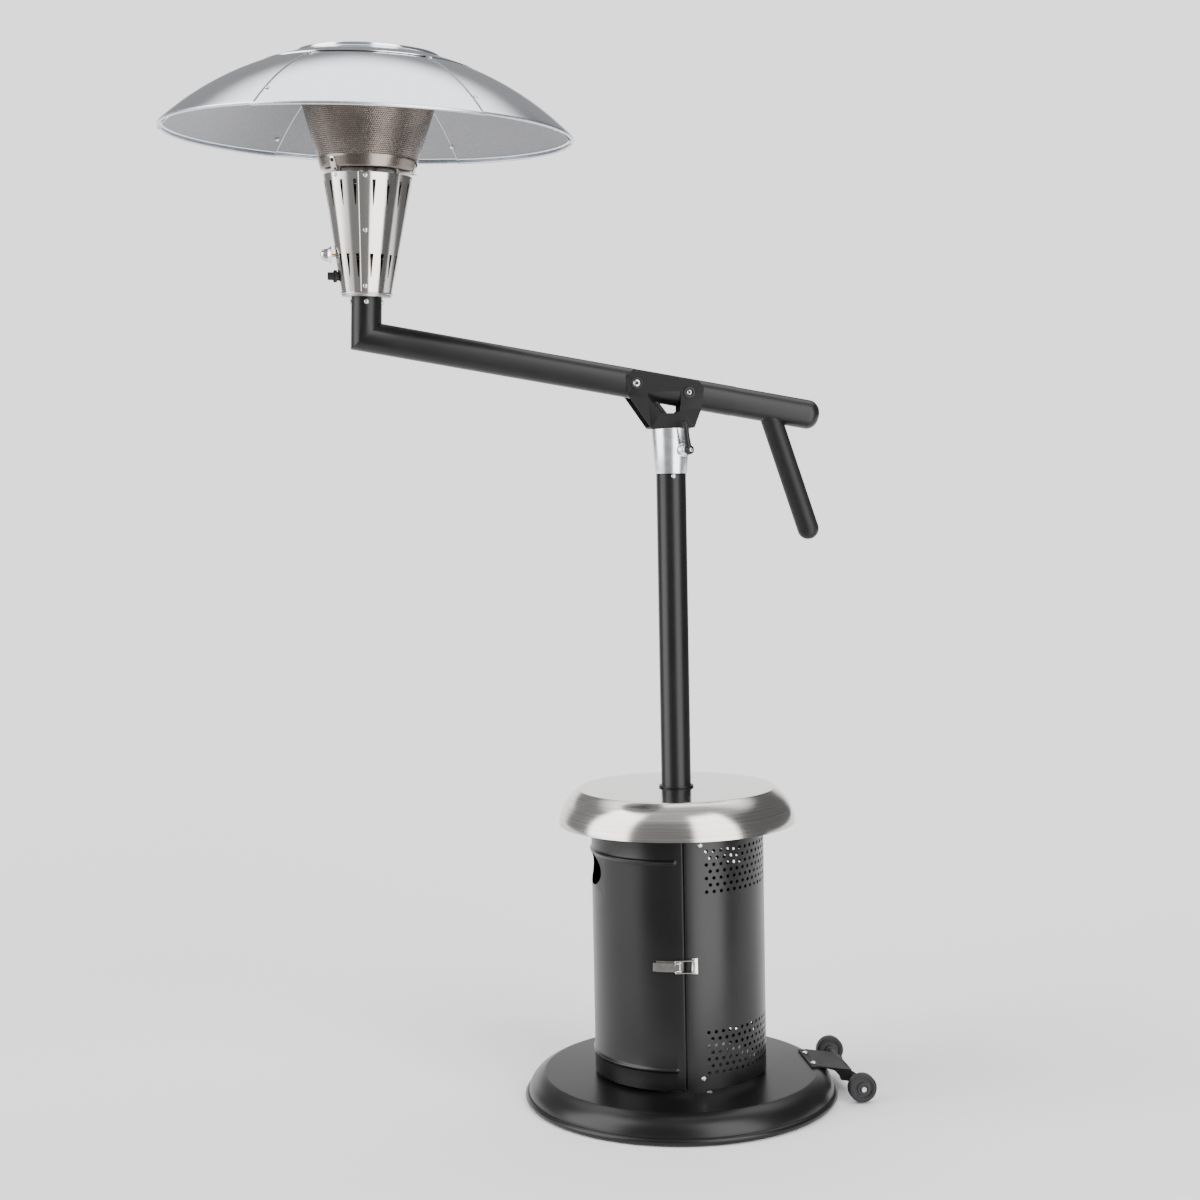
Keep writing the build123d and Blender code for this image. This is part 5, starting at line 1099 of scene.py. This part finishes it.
class HEATER_OT_arm(Operator):
    """Arm tube with its mitred elbow, the rear sleeve and the grab handle"""

    bl_idname = "heater.arm"
    bl_label = "Arm and handle"

    def execute(self, context):
        s = context.scene.heater_sizes
        arm, head = arm_place(s), head_place(s)
        r = s.post_radius
        pipe_top, spigot = 0.078, 0.132
        sleeve_start, sleeve_end = 0.090, 0.315
        handle_at, handle_end = 0.207, 0.286
        top = head.origin + head.z * pipe_top
        rear = arm.at((0, 0, -spigot))
        path = np.vstack([np.linspace(rear, head.origin, 12), np.linspace(head.origin, top, 4)[1:]])
        piece = Piece("arm_tube_skin", "arm", "satin_black")
        piece.tube(path, r, ACROSS, 72)
        piece.done("arm_tube", sharp=30)
        sleeve = s.sleeve_radius
        lip = [(r, sleeve_start), (sleeve - 0.0008, sleeve_start), (sleeve, sleeve_start + 0.0008)]
        profile = np.vstack([lip, round_end(sleeve, sleeve_end, 0.024, 12), [(0.0, sleeve_end)]])
        piece = Piece("sleeve_skin", "arm", "satin_black")
        piece.lathe(profile, Place(arm.origin, arm.x, -arm.z), 72, closed=False)
        piece.done("sleeve", sharp=40)
        down = np.array([sin(s.handle_lean), 0, -cos(s.handle_lean)])
        root, grip = arm.at((0, 0, -handle_at)), s.grip_radius
        profile = np.vstack([[(grip, 0.012)], round_end(grip, handle_end, grip, 14)])
        piece = Piece("handle_grip_skin", "arm", "grip")
        piece.lathe(profile, Place(root, ACROSS, down), 64, closed=False)
        piece.done("handle_grip", sharp=40)
        return {"FINISHED"}


class HEATER_OT_hose(Operator):
    """Gas hose through the arm, its grommet, and the hose in the post"""

    bl_idname = "heater.hose"
    bl_label = "Gas hose"

    def execute(self, context):
        for node, body in (("arm_hose", "arm"), ("post_hose", "stand"), ("grommet", "arm")):
            as_modelled(node, "rubber", body, "rubber", sharp=40)
        return {"FINISHED"}


class HEATER_OT_cone(Operator):
    """Slotted stainless cone with its lapped seam, lip and screws"""

    bl_idname = "heater.cone"
    bl_label = "Burner housing"

    def execute(self, context):
        s = context.scene.heater_sizes
        head = head_place(s)
        slope = (s.cone_high_radius - s.cone_low_radius) / (s.cone_high - s.cone_low)
        first, space, count, lap = radians(8.0), radians(25.0), 18, radians(12.0)
        pitch = (2 * pi - space) / (count - 1)
        slots = first + pitch * np.arange(count)
        seam = radians(-12.0)
        half = radians(3.4)
        lines = seam + np.linspace(0, 2 * pi + lap, 125)
        lines = lines[(np.abs(lines[:, None] - slots[None]) > half + radians(1.0)).all(1)]
        columns = np.unique(np.round(np.concatenate([lines, slots - half, slots, slots + half]), 6))
        upper, lower = (0.251, 0.299), (0.114, 0.159)
        margin = 0.004
        rows = rows_of(
            (s.cone_low, lower[0] - margin, 0.01), (lower[0] - margin, lower[1] + margin, 0.0095),
            (lower[1] + margin, upper[0] - margin, 0.02), (upper[0] - margin, upper[1] + margin, 0.0095),
            (upper[1] + margin, s.cone_high, 0.005),
        )
        groups = []
        for bottom, top in (upper, lower):
            use = slots if top == upper[1] else slots[np.abs(slots - 1.5 * pi) > pitch / 2]
            j0, j1 = near(rows, bottom - margin), near(rows, top + margin)
            blocks = [(near(columns, a - half), near(columns, a + half), j0, j1) for a in use]
            middle = (bottom + top) / 2
            radius = s.cone_low_radius + slope * (middle - s.cone_low)

            def taper(edge, radius=radius, tall=(top - bottom) / 2):
                """A slot that widens upwards: half width w = 2.2 mm + 1.3 mm y, with y from -1 to 1."""
                wide = 0.0022 + 0.0013 * edge[..., 1:]
                return np.concatenate([edge[..., :1] * wide / radius, edge[..., 1:] * tall], -1)

            groups.append((blocks, taper))
        points, quads = pierced(columns, rows, groups)
        a, z = points.T
        over = np.clip(1 - (a - seam) / radians(70), 0, 1)
        r = s.cone_low_radius + slope * (z - s.cone_low) + s.petal_sheet * over - 0.0002
        spread = head.at(polar(r, a, z))
        piece = Piece("cone_sheet", "arm", "cone_steel", "scorched_steel")
        uv = np.stack([z[quads], a[quads] * s.cone_high_radius], -1)
        piece.faces(spread, quads, uv)
        # the inner side and the slot walls take the near-black second finish: painted shade in the slots
        piece.done("cone", wall=s.petal_sheet, lined=1, recalculate=False)
        piece = Piece("cone_trim", "arm", "cone_steel", "zinc_plate")
        bead, nut_circle = 0.0019, 0.040
        angles = np.linspace(0, 2 * pi, 16, endpoint=False)
        piece.lathe((s.cone_low_radius + 0.0004, s.cone_low) + polar(bead, angles), head, 96)
        up = np.linspace(s.cone_low + 0.002, s.cone_high, 12)
        edge = s.cone_low_radius + slope * (up - s.cone_low) + s.petal_sheet
        piece.tube(head.at(polar(edge, seam, up)), 0.0008, head.turned(seam).y, 8)
        for height in (0.3065, 0.2035, 0.097):
            radius = s.cone_low_radius + slope * (height - s.cone_low) + s.petal_sheet
            screw(piece, on_wall(head, radians(-3.0), radius, height, slope), 0.0046, 0.0022, finish=1)
        height = 0.3075
        radius = s.cone_low_radius + slope * (height - s.cone_low)
        for angle in TAB_ANGLES:
            screw(piece, on_wall(head, angle, radius, height, slope), 0.0042, 0.0020, finish=1)
        under = Place(head.at((0, 0, s.cone_low + 0.0004)), head.x, -head.z)
        for angle in np.radians([-20, 40, 100, 160, 220, 280]):
            spot = under.at(polar(nut_circle, angle, 0.0))
            nut(piece, Place(spot, head.x, -head.z), 0.0070, 0.0058, finish=1)
        piece.done(sharp=40)
        return {"FINISHED"}


class HEATER_OT_controls(Operator):
    """Chrome knob with its grip flutes and spindle, and the push igniter"""

    bl_idname = "heater.controls"
    bl_label = "Knob and igniter"

    def execute(self, context):
        s = context.scene.heater_sizes
        knob = joint("knob_turn")
        out = np.array(knob["axis"])
        head = head_place(s)
        place = Place(head.at((0, 0, s.knob_height)), head.z, out)
        piece = Piece("knob_turned", "knob", "chrome", "turned_brass")
        start, r = 0.070, 0.0175
        t = np.linspace(0, 1, 16)
        dome_r = 0.0128 * np.cos(t * pi / 2) ** 0.75
        dome_z = start + 0.006 + 0.016 * np.sin(t * pi / 2)
        rim = [(0, start), (r, start), (r, start + 0.0018), (0.0132, start + 0.0065)]
        profile = np.vstack([rounded(rim, 0.0006, 4, closed=False), np.stack([dome_r, dome_z], 1)])
        angles = np.linspace(0, 2 * pi, 144, endpoint=False)
        grip = np.clip((profile[:, 1] - start - 0.003) / 0.004, 0, 1) * (profile[:, 0] > 0.003)
        flute = 1 - 0.07 * grip[None] * (np.cos(angles * 12)[:, None] > 0.2)
        radii = profile[None, :, 0] * flute
        points = polar(radii, angles[:, None], profile[:, 1])
        quads, corners = grid_faces(144, len(profile), True, False)
        piece.faces(place.at(points), quads, corners * 0.001)
        stem = [(0, 0.015), (0.003, 0.015), (0.003, start + 0.001), (0, start + 0.001)]
        piece.lathe(rounded(stem, 0.0003, 3, closed=False), place, 24, closed=False, finish=1)
        piece.done("knob", sharp=45)
        side = Place(head.at((0, 0, 0.117)), head.z, out)
        nut_at = s.cone_low_radius + 0.0081
        piece = Piece("igniter_body_moulding", "arm", "plastic")
        thread, face = nut_at - 0.006, nut_at + 0.0080
        shell = [(0.0081, thread), (0.0088, thread), (0.0088, nut_at), (0.0112, nut_at + 0.0072)]
        shell += [(0.0090, face), (0.0081, face)]
        piece.lathe(rounded(shell, 0.0004, 3), side, 48)
        ribs = np.linspace(0, 2 * pi, 192, endpoint=False)
        ring = 0.0118 * (1 + 0.035 * np.cos(ribs * 24))
        outlines = [polar(ring, ribs), polar(0.0090, ribs[::8])]
        piece.plate(outlines, 0.0066, 0.0004, side.moved(z=nut_at + 0.0035))
        piece.done("igniter_body", sharp=40)
        piece = Piece("igniter_button_moulding", "igniter_button", "plastic")
        base, tip = nut_at + 0.0045, nut_at + 0.019
        cap = rounded([(0, base), (0.0079, base), (0.0079, tip), (0, tip - 0.0006)], 0.0016, 6, closed=False)
        piece.lathe(cap, side, 48, closed=False)
        piece.done("igniter_button", sharp=40)
        return {"FINISHED"}


class HEATER_OT_emitter(Operator):
    """Perforated emitter with its plain band and its three bright tabs"""

    bl_idname = "heater.emitter"
    bl_label = "Emitter"

    def execute(self, context):
        s = context.scene.heater_sizes
        head = head_place(s)
        low, high = s.emitter_low, s.emitter_high
        slope = (s.emitter_high_radius - s.emitter_low_radius) / (high - low)
        band, wall = 0.022, 0.0015
        upper = np.linspace(band + 0.004, high - low, 30)
        rise = np.concatenate([[0, 0.001], np.linspace(0.003, band, 5), [band + 0.001], upper])
        outer = np.stack([s.emitter_low_radius + slope * rise, low + rise], 1)
        outer[0, 0] -= 0.0012
        outer[2:7, 0] += 0.0005
        inner = np.stack([outer[:, 0] - wall, outer[:, 1]], 1)[::-1]
        profile = np.vstack([[(0.062, low)], outer, inner[:-1], [(0.062, low + wall)]])
        kind = np.zeros(len(profile), int)
        kind[:8] = 1
        piece = Piece("emitter_screen", "arm", "emitter_mesh", "band_steel")
        piece.lathe(profile, head, 160, finish=kind, turns=172)
        piece.done("emitter", sharp=40)
        piece = Piece("emitter_tab_set", "arm", "sprung_steel", "scorched_steel")
        half, drop, reach, thick, edge = 0.0072, 0.0060, 0.0135, 0.0014, 0.0004
        crown = (0, reach) + polar(half, np.linspace(0, pi, 17))
        tongue = np.vstack([crown, [(-half, -drop), (half, -drop)]])
        sole = [(-half, -0.0080), (half, -0.0080), (half, 0.0015), (-half, 0.0015)]
        for angle in TAB_ANGLES:
            flat = on_wall(head, angle, s.emitter_low_radius, low, slope)
            piece.plate([tongue], thick, edge, flat.moved(z=thick))
            piece.plate([sole], thick, edge, Place(flat.at((0, -drop, 0.0005)), flat.x, head.z))
            # the screws take the near-black second finish: painted shade where each tab's hole is
            screw(piece, flat.moved(y=reach, z=0.0022), 0.0040, 0.0018, finish=1)
        piece.done("emitter_tabs", sharp=40, bevel=0.0002)
        return {"FINISHED"}


class HEATER_OT_burner(Operator):
    """Pieces of the burner and the gas train, closed in by the cone, the emitter and the housing"""

    bl_idname = "heater.burner"
    bl_label = "Burner and gas train"

    def execute(self, context):
        for node, body, finish, edge in (
            ("burner_base", "arm", "inner_steel", 0.001),
            ("valve", "arm", "turned_brass", 0.0006),
            ("mixer_tube", "arm", "inner_steel", None),
            ("burner_plate", "arm", "inner_steel", 0.0003),
            ("burner", "arm", "inner_steel", None),
            ("pilot_set", "arm", "zinc_plate", 0.0003),
            ("emitter_lid", "arm", "inner_steel", 0.0004),
            ("inlet_plug", "stand", "turned_brass", 0.0005),
            ("regulator", "stand", "swivel_alloy", 0.0008),
        ):
            as_modelled(node, "metal", body, finish, edge, 40)
        return {"FINISHED"}


def dome_sphere(s):
    """Radius of the dome's sphere from its rim radius r and rise h: (r^2 + h^2) / 2 h."""
    rise = s.dome_apex - s.dome_rim
    return (s.dome_radius**2 + rise**2) / (2 * rise)


def dome_height(s, radius, raised=0.0):
    """Height of the dome over the elbow: the crown's height less the sag of a sphere at this radius."""
    sphere = dome_sphere(s)
    return s.dome_apex - sphere + np.sqrt((sphere + raised) ** 2 - np.asarray(radius) ** 2)


class HEATER_OT_dome(Operator):
    """Six lapped petals with their rolled rim, the stepped cap and the seam screws"""

    bl_idname = "heater.dome"
    bl_label = "Reflector"

    def execute(self, context):
        s = context.scene.heater_sizes
        head = head_place(s)
        sheet, sphere = s.petal_sheet, dome_sphere(s)
        start, last = 0.120, s.dome_radius + 0.0014
        radii = np.linspace(start, last, 44)
        lean = atan2(sqrt(sphere**2 - last**2), last)

        def profile_at(raised):
            """A petal's profile: outer side, rolled rim and inner side, raised over the sphere."""
            outer = np.stack([radii, dome_height(s, radii, raised)], 1)
            centre = outer[-1] - s.dome_bead * np.array([cos(lean), sin(lean)])
            turned = np.linspace(lean, lean + radians(48) - 2 * pi, 22)
            bead = centre + polar(s.dome_bead, turned)
            inner = np.stack([radii, dome_height(s, radii, raised - sheet)], 1)[::-1]
            return np.vstack([outer, bead[1:], inner[1:]])

        kind = np.zeros(len(profile_at(0)), int)
        kind[44:64] = 2
        kind[65:-1] = 1
        for name, first, raised in (("under_petals", 0, 0.0), ("over_petals", 60, sheet)):
            piece = Piece(name + "_sheet", "arm", "dome_bright", "dome_lining", "dome_bead")
            for offset in (0, 120, 240):
                middle = s.petal_first + radians(first + offset)
                spread = radians(60) + (s.petal_lap if raised == 0 else -radians(0.1))
                piece.lathe(profile_at(raised), head, 56, middle - spread / 2, spread, finish=kind)
                for angle in (middle - spread / 2, middle + spread / 2):
                    out = head.facing(angle).z
                    # over petals: a thin tube in the darker lining finish along each outer edge is a painted
                    # shadow line at the lap; under petals: the tube is the rolled hem inside, in the bead
                    # finish
                    shown, hem, tone = (raised, 0.0008, 1) if raised else (-sheet, 0.0011, 2)
                    path = head.origin + radii[:, None] * out + dome_height(s, radii, shown)[:, None] * head.z
                    piece.tube(path, hem, np.cross(head.z, out), 10, finish=tone)
            piece.done(name, sharp=50)
        piece = Piece("dome_cap_sheet", "arm", "dome_bright")
        low = sheet + 0.0001
        high = low + 0.0012
        cap, disc_r = s.cap_radius, s.disc_radius
        ring = np.linspace(cap, disc_r + 0.001, 14)
        outer = np.stack([ring, dome_height(s, ring, high)], 1)
        edge = dome_height(s, disc_r, high) + 0.006
        apex = dome_height(s, 0.0, high) + 0.005
        crown_r = np.linspace(disc_r, 0, 26)
        crown = np.stack([crown_r, edge + (apex - edge) * (1 - (crown_r / disc_r) ** 2)], 1)
        top = rounded(np.vstack([outer, crown[:1], crown[2:]]), 0.0022, 5, closed=False)
        below = np.stack([ring, dome_height(s, ring, low)], 1)
        foot = [(disc_r, below[-1, 1]), (disc_r, edge - 0.0012)]
        inner = np.vstack([below, foot, np.stack([crown_r[1:], crown[1:, 1] - 0.0012], 1)])
        profile = np.vstack([inner[::-1], top])
        piece.lathe(profile, head, 160, closed=False)
        piece.done("dome_cap", sharp=50)
        as_modelled("dome_hub", "sheet", "arm", "dome_lining", sharp=40)
        piece = Piece("dome_stud_set", "arm", "zinc_plate")
        crest = head.moved(z=apex)
        disc(piece, crest, 0.011, 0.0012, 0.0004)
        nut(piece, crest.moved(z=0.0012), 0.015, 0.0055)
        foot, tip = 0.506, apex + 0.0085
        stem = [(0, foot), (0.005, foot), (0.005, tip - 0.0007), (0.0042, tip), (0, tip)]
        piece.lathe(stem, head, 32, closed=False)
        piece.done("dome_stud", sharp=40)
        piece = Piece("dome_seam_screws", "arm", "zinc_plate")
        for step in range(6):
            seam = s.petal_first + radians(30 + 60 * step)
            for radius, beside in ((0.372, 0.006), (0.222, 0.004)):
                angle = seam + beside / radius
                lean_here = atan2(radius, sqrt(sphere**2 - radius**2))
                above = head.facing(angle, radius, dome_height(s, radius, sheet) + 0.0003)
                below = head.facing(angle, radius, dome_height(s, radius, -sheet) - 0.0003)
                normal = above.z * sin(lean_here) + head.z * cos(lean_here)
                screw(piece, Place(above.origin, above.x, normal), 0.0042, 0.0019)
                nut(piece, Place(below.origin, below.x, -normal), 0.0075, 0.0032)
        piece.done(sharp=40)
        return {"FINISHED"}


class HEATER_OT_wheels(Operator):
    """Transport wheels with their tyres and rings, the axle and its bracket"""

    bl_idname = "heater.wheels"
    bl_label = "Wheels"

    def execute(self, context):
        for name, side in (("near_wheel", -1), ("far_wheel", 1)):
            low, high = box(name)
            centre = (low + high) / 2
            inner = low[1] if side > 0 else high[1]
            place = Place((centre[0], inner, centre[2]), UP, (0, side, 0))
            r, width = (high[2] - low[2]) / 2, high[1] - low[1]
            bore, rim = 0.0051, width - 0.001
            web, cap = width - 0.0045, width - 0.0015
            dish = [
                (bore, 0.0), (0.011, 0.0), (0.012, 0.004), (0.019, 0.004), (0.0195, 0.001), (0.0205, 0.001),
                (0.0205, rim), (0.0195, rim), (0.0185, web), (0.0130, web),
                (0.0120, width), (0.0095, width), (0.0090, cap), (bore, cap),
            ]
            tyre = [
                (0.0203, 0.0005), (0.0225, 0.0), (0.0265, 0.0), (r, 0.0030), (r, width - 0.0030),
                (0.0265, width), (0.0225, width), (0.0203, width - 0.0005),
            ]
            piece = Piece(name + "_set", name, "tyre", "wheel_rim")
            piece.lathe(rounded(tyre, 0.0012, 5), place, 72)
            piece.lathe(rounded(dish, 0.0005, 4), place, 72, finish=1)
            piece.done(name, sharp=40)
        low, high = box("axle")
        centre = (low + high) / 2
        piece = Piece("axle_rod", "stand", "zinc_plate")
        half = (high[1] - low[1]) / 2
        rod = Place((centre[0], -half, centre[2]), UP, ACROSS)
        profile = [(0, 0.0007), (0.005, 0.0007), (0.005, 2 * half - 0.0007), (0, 2 * half - 0.0007)]
        piece.lathe(profile, rod, 32, closed=False)
        for side in (-1, 1):
            face = side * (half - 0.006 + 0.0003)
            screw(piece, Place((centre[0], face, centre[2]), UP, (0, side, 0)), 0.0056, 0.0040, recess="hex")
        piece.done("axle", sharp=40)
        as_modelled("wheel_bracket", "fold", "stand", "wrinkle_black", 0.0006)
        return {"FINISHED"}


class HEATER_OT_fasteners(Operator):
    """Screws of the housing, the head pipe and the wheel bracket"""

    bl_idname = "heater.fasteners"
    bl_label = "Screws"

    def execute(self, context):
        s = context.scene.heater_sizes
        head = head_place(s)
        low, high = box("panel_screws")
        piece = Piece("panel_screw_heads", "stand", "zinc_plate")
        shank = [(0, -0.009), (0.0025, -0.009), (0.0025, 0.0), (0, 0.0)]
        for angle in np.radians([-85, 0, 85]):
            for height in (low[2] + 0.005, high[2] - 0.005):
                place = POST.facing(angle, s.housing_radius, height)
                screw(piece, place, 0.0050, 0.0025)
                piece.lathe(shank, place, 16, closed=False)
        piece.done("panel_screws", sharp=40)
        piece = Piece("head_screw_heads", "arm", "zinc_plate")
        for angle in np.radians([0, 90, 180, 270]):
            screw(piece, head.facing(angle, s.post_radius, 0.068), 0.0052, 0.0036)
        piece.done("head_screws", sharp=40)
        low, high = box("bracket_screws")
        piece = Piece("bracket_screw_heads", "stand", "zinc_plate")
        for y in (low[1] + 0.006, high[1] - 0.006):
            screw(piece, Place(((low[0] + high[0]) / 2, y, high[2] - 0.003), (1, 0, 0), UP), 0.0058, 0.0030)
        piece.done("bracket_screws", sharp=40)
        return {"FINISHED"}


class HEATER_OT_frame(Operator):
    """Legs, top plate, bushes and other inner pieces that keep their CAD shape"""

    bl_idname = "heater.frame"
    bl_label = "Inner frame"

    def execute(self, context):
        for node, body, finish, edge in (
            ("legs", "stand", "frame_grey", 0.0005),
            ("top_plate", "stand", "frame_grey", 0.0005),
            ("post_bolts", "stand", "zinc_plate", 0.0004),
            ("bushes", "stand", "bush", 0.0003),
            ("counterweight", "arm", "frame_grey", 0.001),
            ("handle_stud", "arm", "zinc_plate", 0.0005),
        ):
            as_modelled(node, "metal", body, finish, edge, 40)
        return {"FINISHED"}


class HEATER_OT_studio(Operator):
    """Pale floor, the soft light round it and the camera"""

    bl_idname = "heater.studio"
    bl_label = "Studio"

    def execute(self, context):
        studio = context.scene.heater_studio
        floor = bpy.data.meshes.new("studio_floor")
        corners = [(-12, -0.72, 0), (12, -0.72, 0), (12, 16, 0), (-12, 16, 0)]
        floor.from_pydata(corners, [], [(0, 1, 2, 3)])
        floor.materials.append(finish_of("floor"))
        ground = bpy.data.objects.new("studio_floor", floor)
        context.scene.collection.objects.link(ground)
        sky = bpy.data.worlds.new("studio_sky")
        sky.use_nodes = True
        light = Nodes(sky.node_tree)
        source = light.add("ShaderNodeTexCoord").outputs["Generated"]
        way = light.add("ShaderNodeSeparateXYZ", inputs={0: source})
        x, y, z = (Value(light, out) for out in way.outputs)
        around = x.math("ARCTAN2", -y)
        turned = around.math("ABSOLUTE")
        shade, base, top = 0.15, 0.2, 0.8

        def window(first, last, soft=4.0):
            """1 between two directions in degrees round the object and 0 outside, with soft sides."""
            inside = around.between(radians(first - soft), radians(first + soft))
            return inside * (1 - around.between(radians(last - soft), radians(last + soft)))

        left = window(-104, -58) * (shade + z.between(-0.20, -0.06) * (1 - shade))
        boxes = (left + window(8, 52)) * (1 - z.between(0.80, 0.92))
        wall = turned.between(radians(138), radians(158))
        behind = wall * (shade + (1 - z.between(0.22, 0.34)) * (studio.sweep - shade))
        level = window(-150, 2, 6.0) * studio.room + behind + base
        above = z.between(0.62, 0.84)
        rear = turned.between(radians(75), radians(115))
        lit = level * (1 - above) + above * (top + rear * (studio.ceiling - top)) + boxes * studio.softbox
        seen = Value(light, light.add("ShaderNodeLightPath").outputs["Is Camera Ray"])
        shown = lit * (1 - seen) + seen * studio.backdrop
        background = light.add("ShaderNodeBackground", inputs={"Strength": shown, "Color": (1, 1, 1, 1)})
        light.add("ShaderNodeOutputWorld", inputs={"Surface": background.outputs[0]})
        context.scene.world = sky
        # the camera's place and turns came from the fit, whose own axes are swung by the near side's angle
        fitted_at, swing = np.array([-0.1154, -3.7627, 1.2543]), radians(8.0)
        yaw, pitch, roll = -0.0093, -0.0584, -0.0191
        right = np.array([cos(yaw), -sin(yaw), 0.0])
        ahead = np.array([sin(yaw) * cos(pitch), cos(yaw) * cos(pitch), sin(pitch)])
        up = np.cross(right, ahead)
        level = right * cos(roll) + up * sin(roll)
        swung = np.array([[cos(swing), sin(swing), 0], [-sin(swing), cos(swing), 0], [0, 0, 1]])
        camera = bpy.data.cameras.new("photo_camera")
        camera.lens = studio.lens
        camera.sensor_width = 36.0
        eye = bpy.data.objects.new("photo_camera", camera)
        eye.matrix_world = Place(swung @ fitted_at, swung @ level, -(swung @ ahead)).matrix()
        context.scene.collection.objects.link(eye)
        context.scene.camera = eye
        return {"FINISHED"}


class HEATER_PT_panel(Panel):
    """Lists the pieces in the 3D view's sidebar"""

    bl_label = "Patio heater"
    bl_idname = "HEATER_PT_panel"
    bl_space_type = "VIEW_3D"
    bl_region_type = "UI"
    bl_category = "Heater"

    def draw(self, context):
        for operator in OPERATORS:
            self.layout.operator(operator.bl_idname)


OPERATORS = (
    HEATER_OT_studio,
    HEATER_OT_base,
    HEATER_OT_housing,
    HEATER_OT_door,
    HEATER_OT_hinges,
    HEATER_OT_table,
    HEATER_OT_post,
    HEATER_OT_swivel,
    HEATER_OT_bracket,
    HEATER_OT_arm,
    HEATER_OT_hose,
    HEATER_OT_cone,
    HEATER_OT_controls,
    HEATER_OT_emitter,
    HEATER_OT_burner,
    HEATER_OT_dome,
    HEATER_OT_wheels,
    HEATER_OT_fasteners,
    HEATER_OT_frame,
)
GROUPS = {"heater_sizes": HeaterSizes, "heater_colours": HeaterColours, "heater_studio": HeaterStudio}


def register():
    """Registers the property groups, the operators and the panel."""
    for cls in (*GROUPS.values(), *OPERATORS, HEATER_PT_panel):
        bpy.utils.register_class(cls)
    for name, group in GROUPS.items():
        setattr(bpy.types.Scene, name, PointerProperty(type=group))


def unregister():
    """Takes everything that register added away again."""
    for name in GROUPS:
        delattr(bpy.types.Scene, name)
    for cls in reversed((*GROUPS.values(), *OPERATORS, HEATER_PT_panel)):
        bpy.utils.unregister_class(cls)


def main():
    """Makes every piece in order."""
    register()
    for operator in OPERATORS:
        group, name = operator.bl_idname.split(".")
        getattr(getattr(bpy.ops, group), name)()


if __name__ == "__main__":
    main()
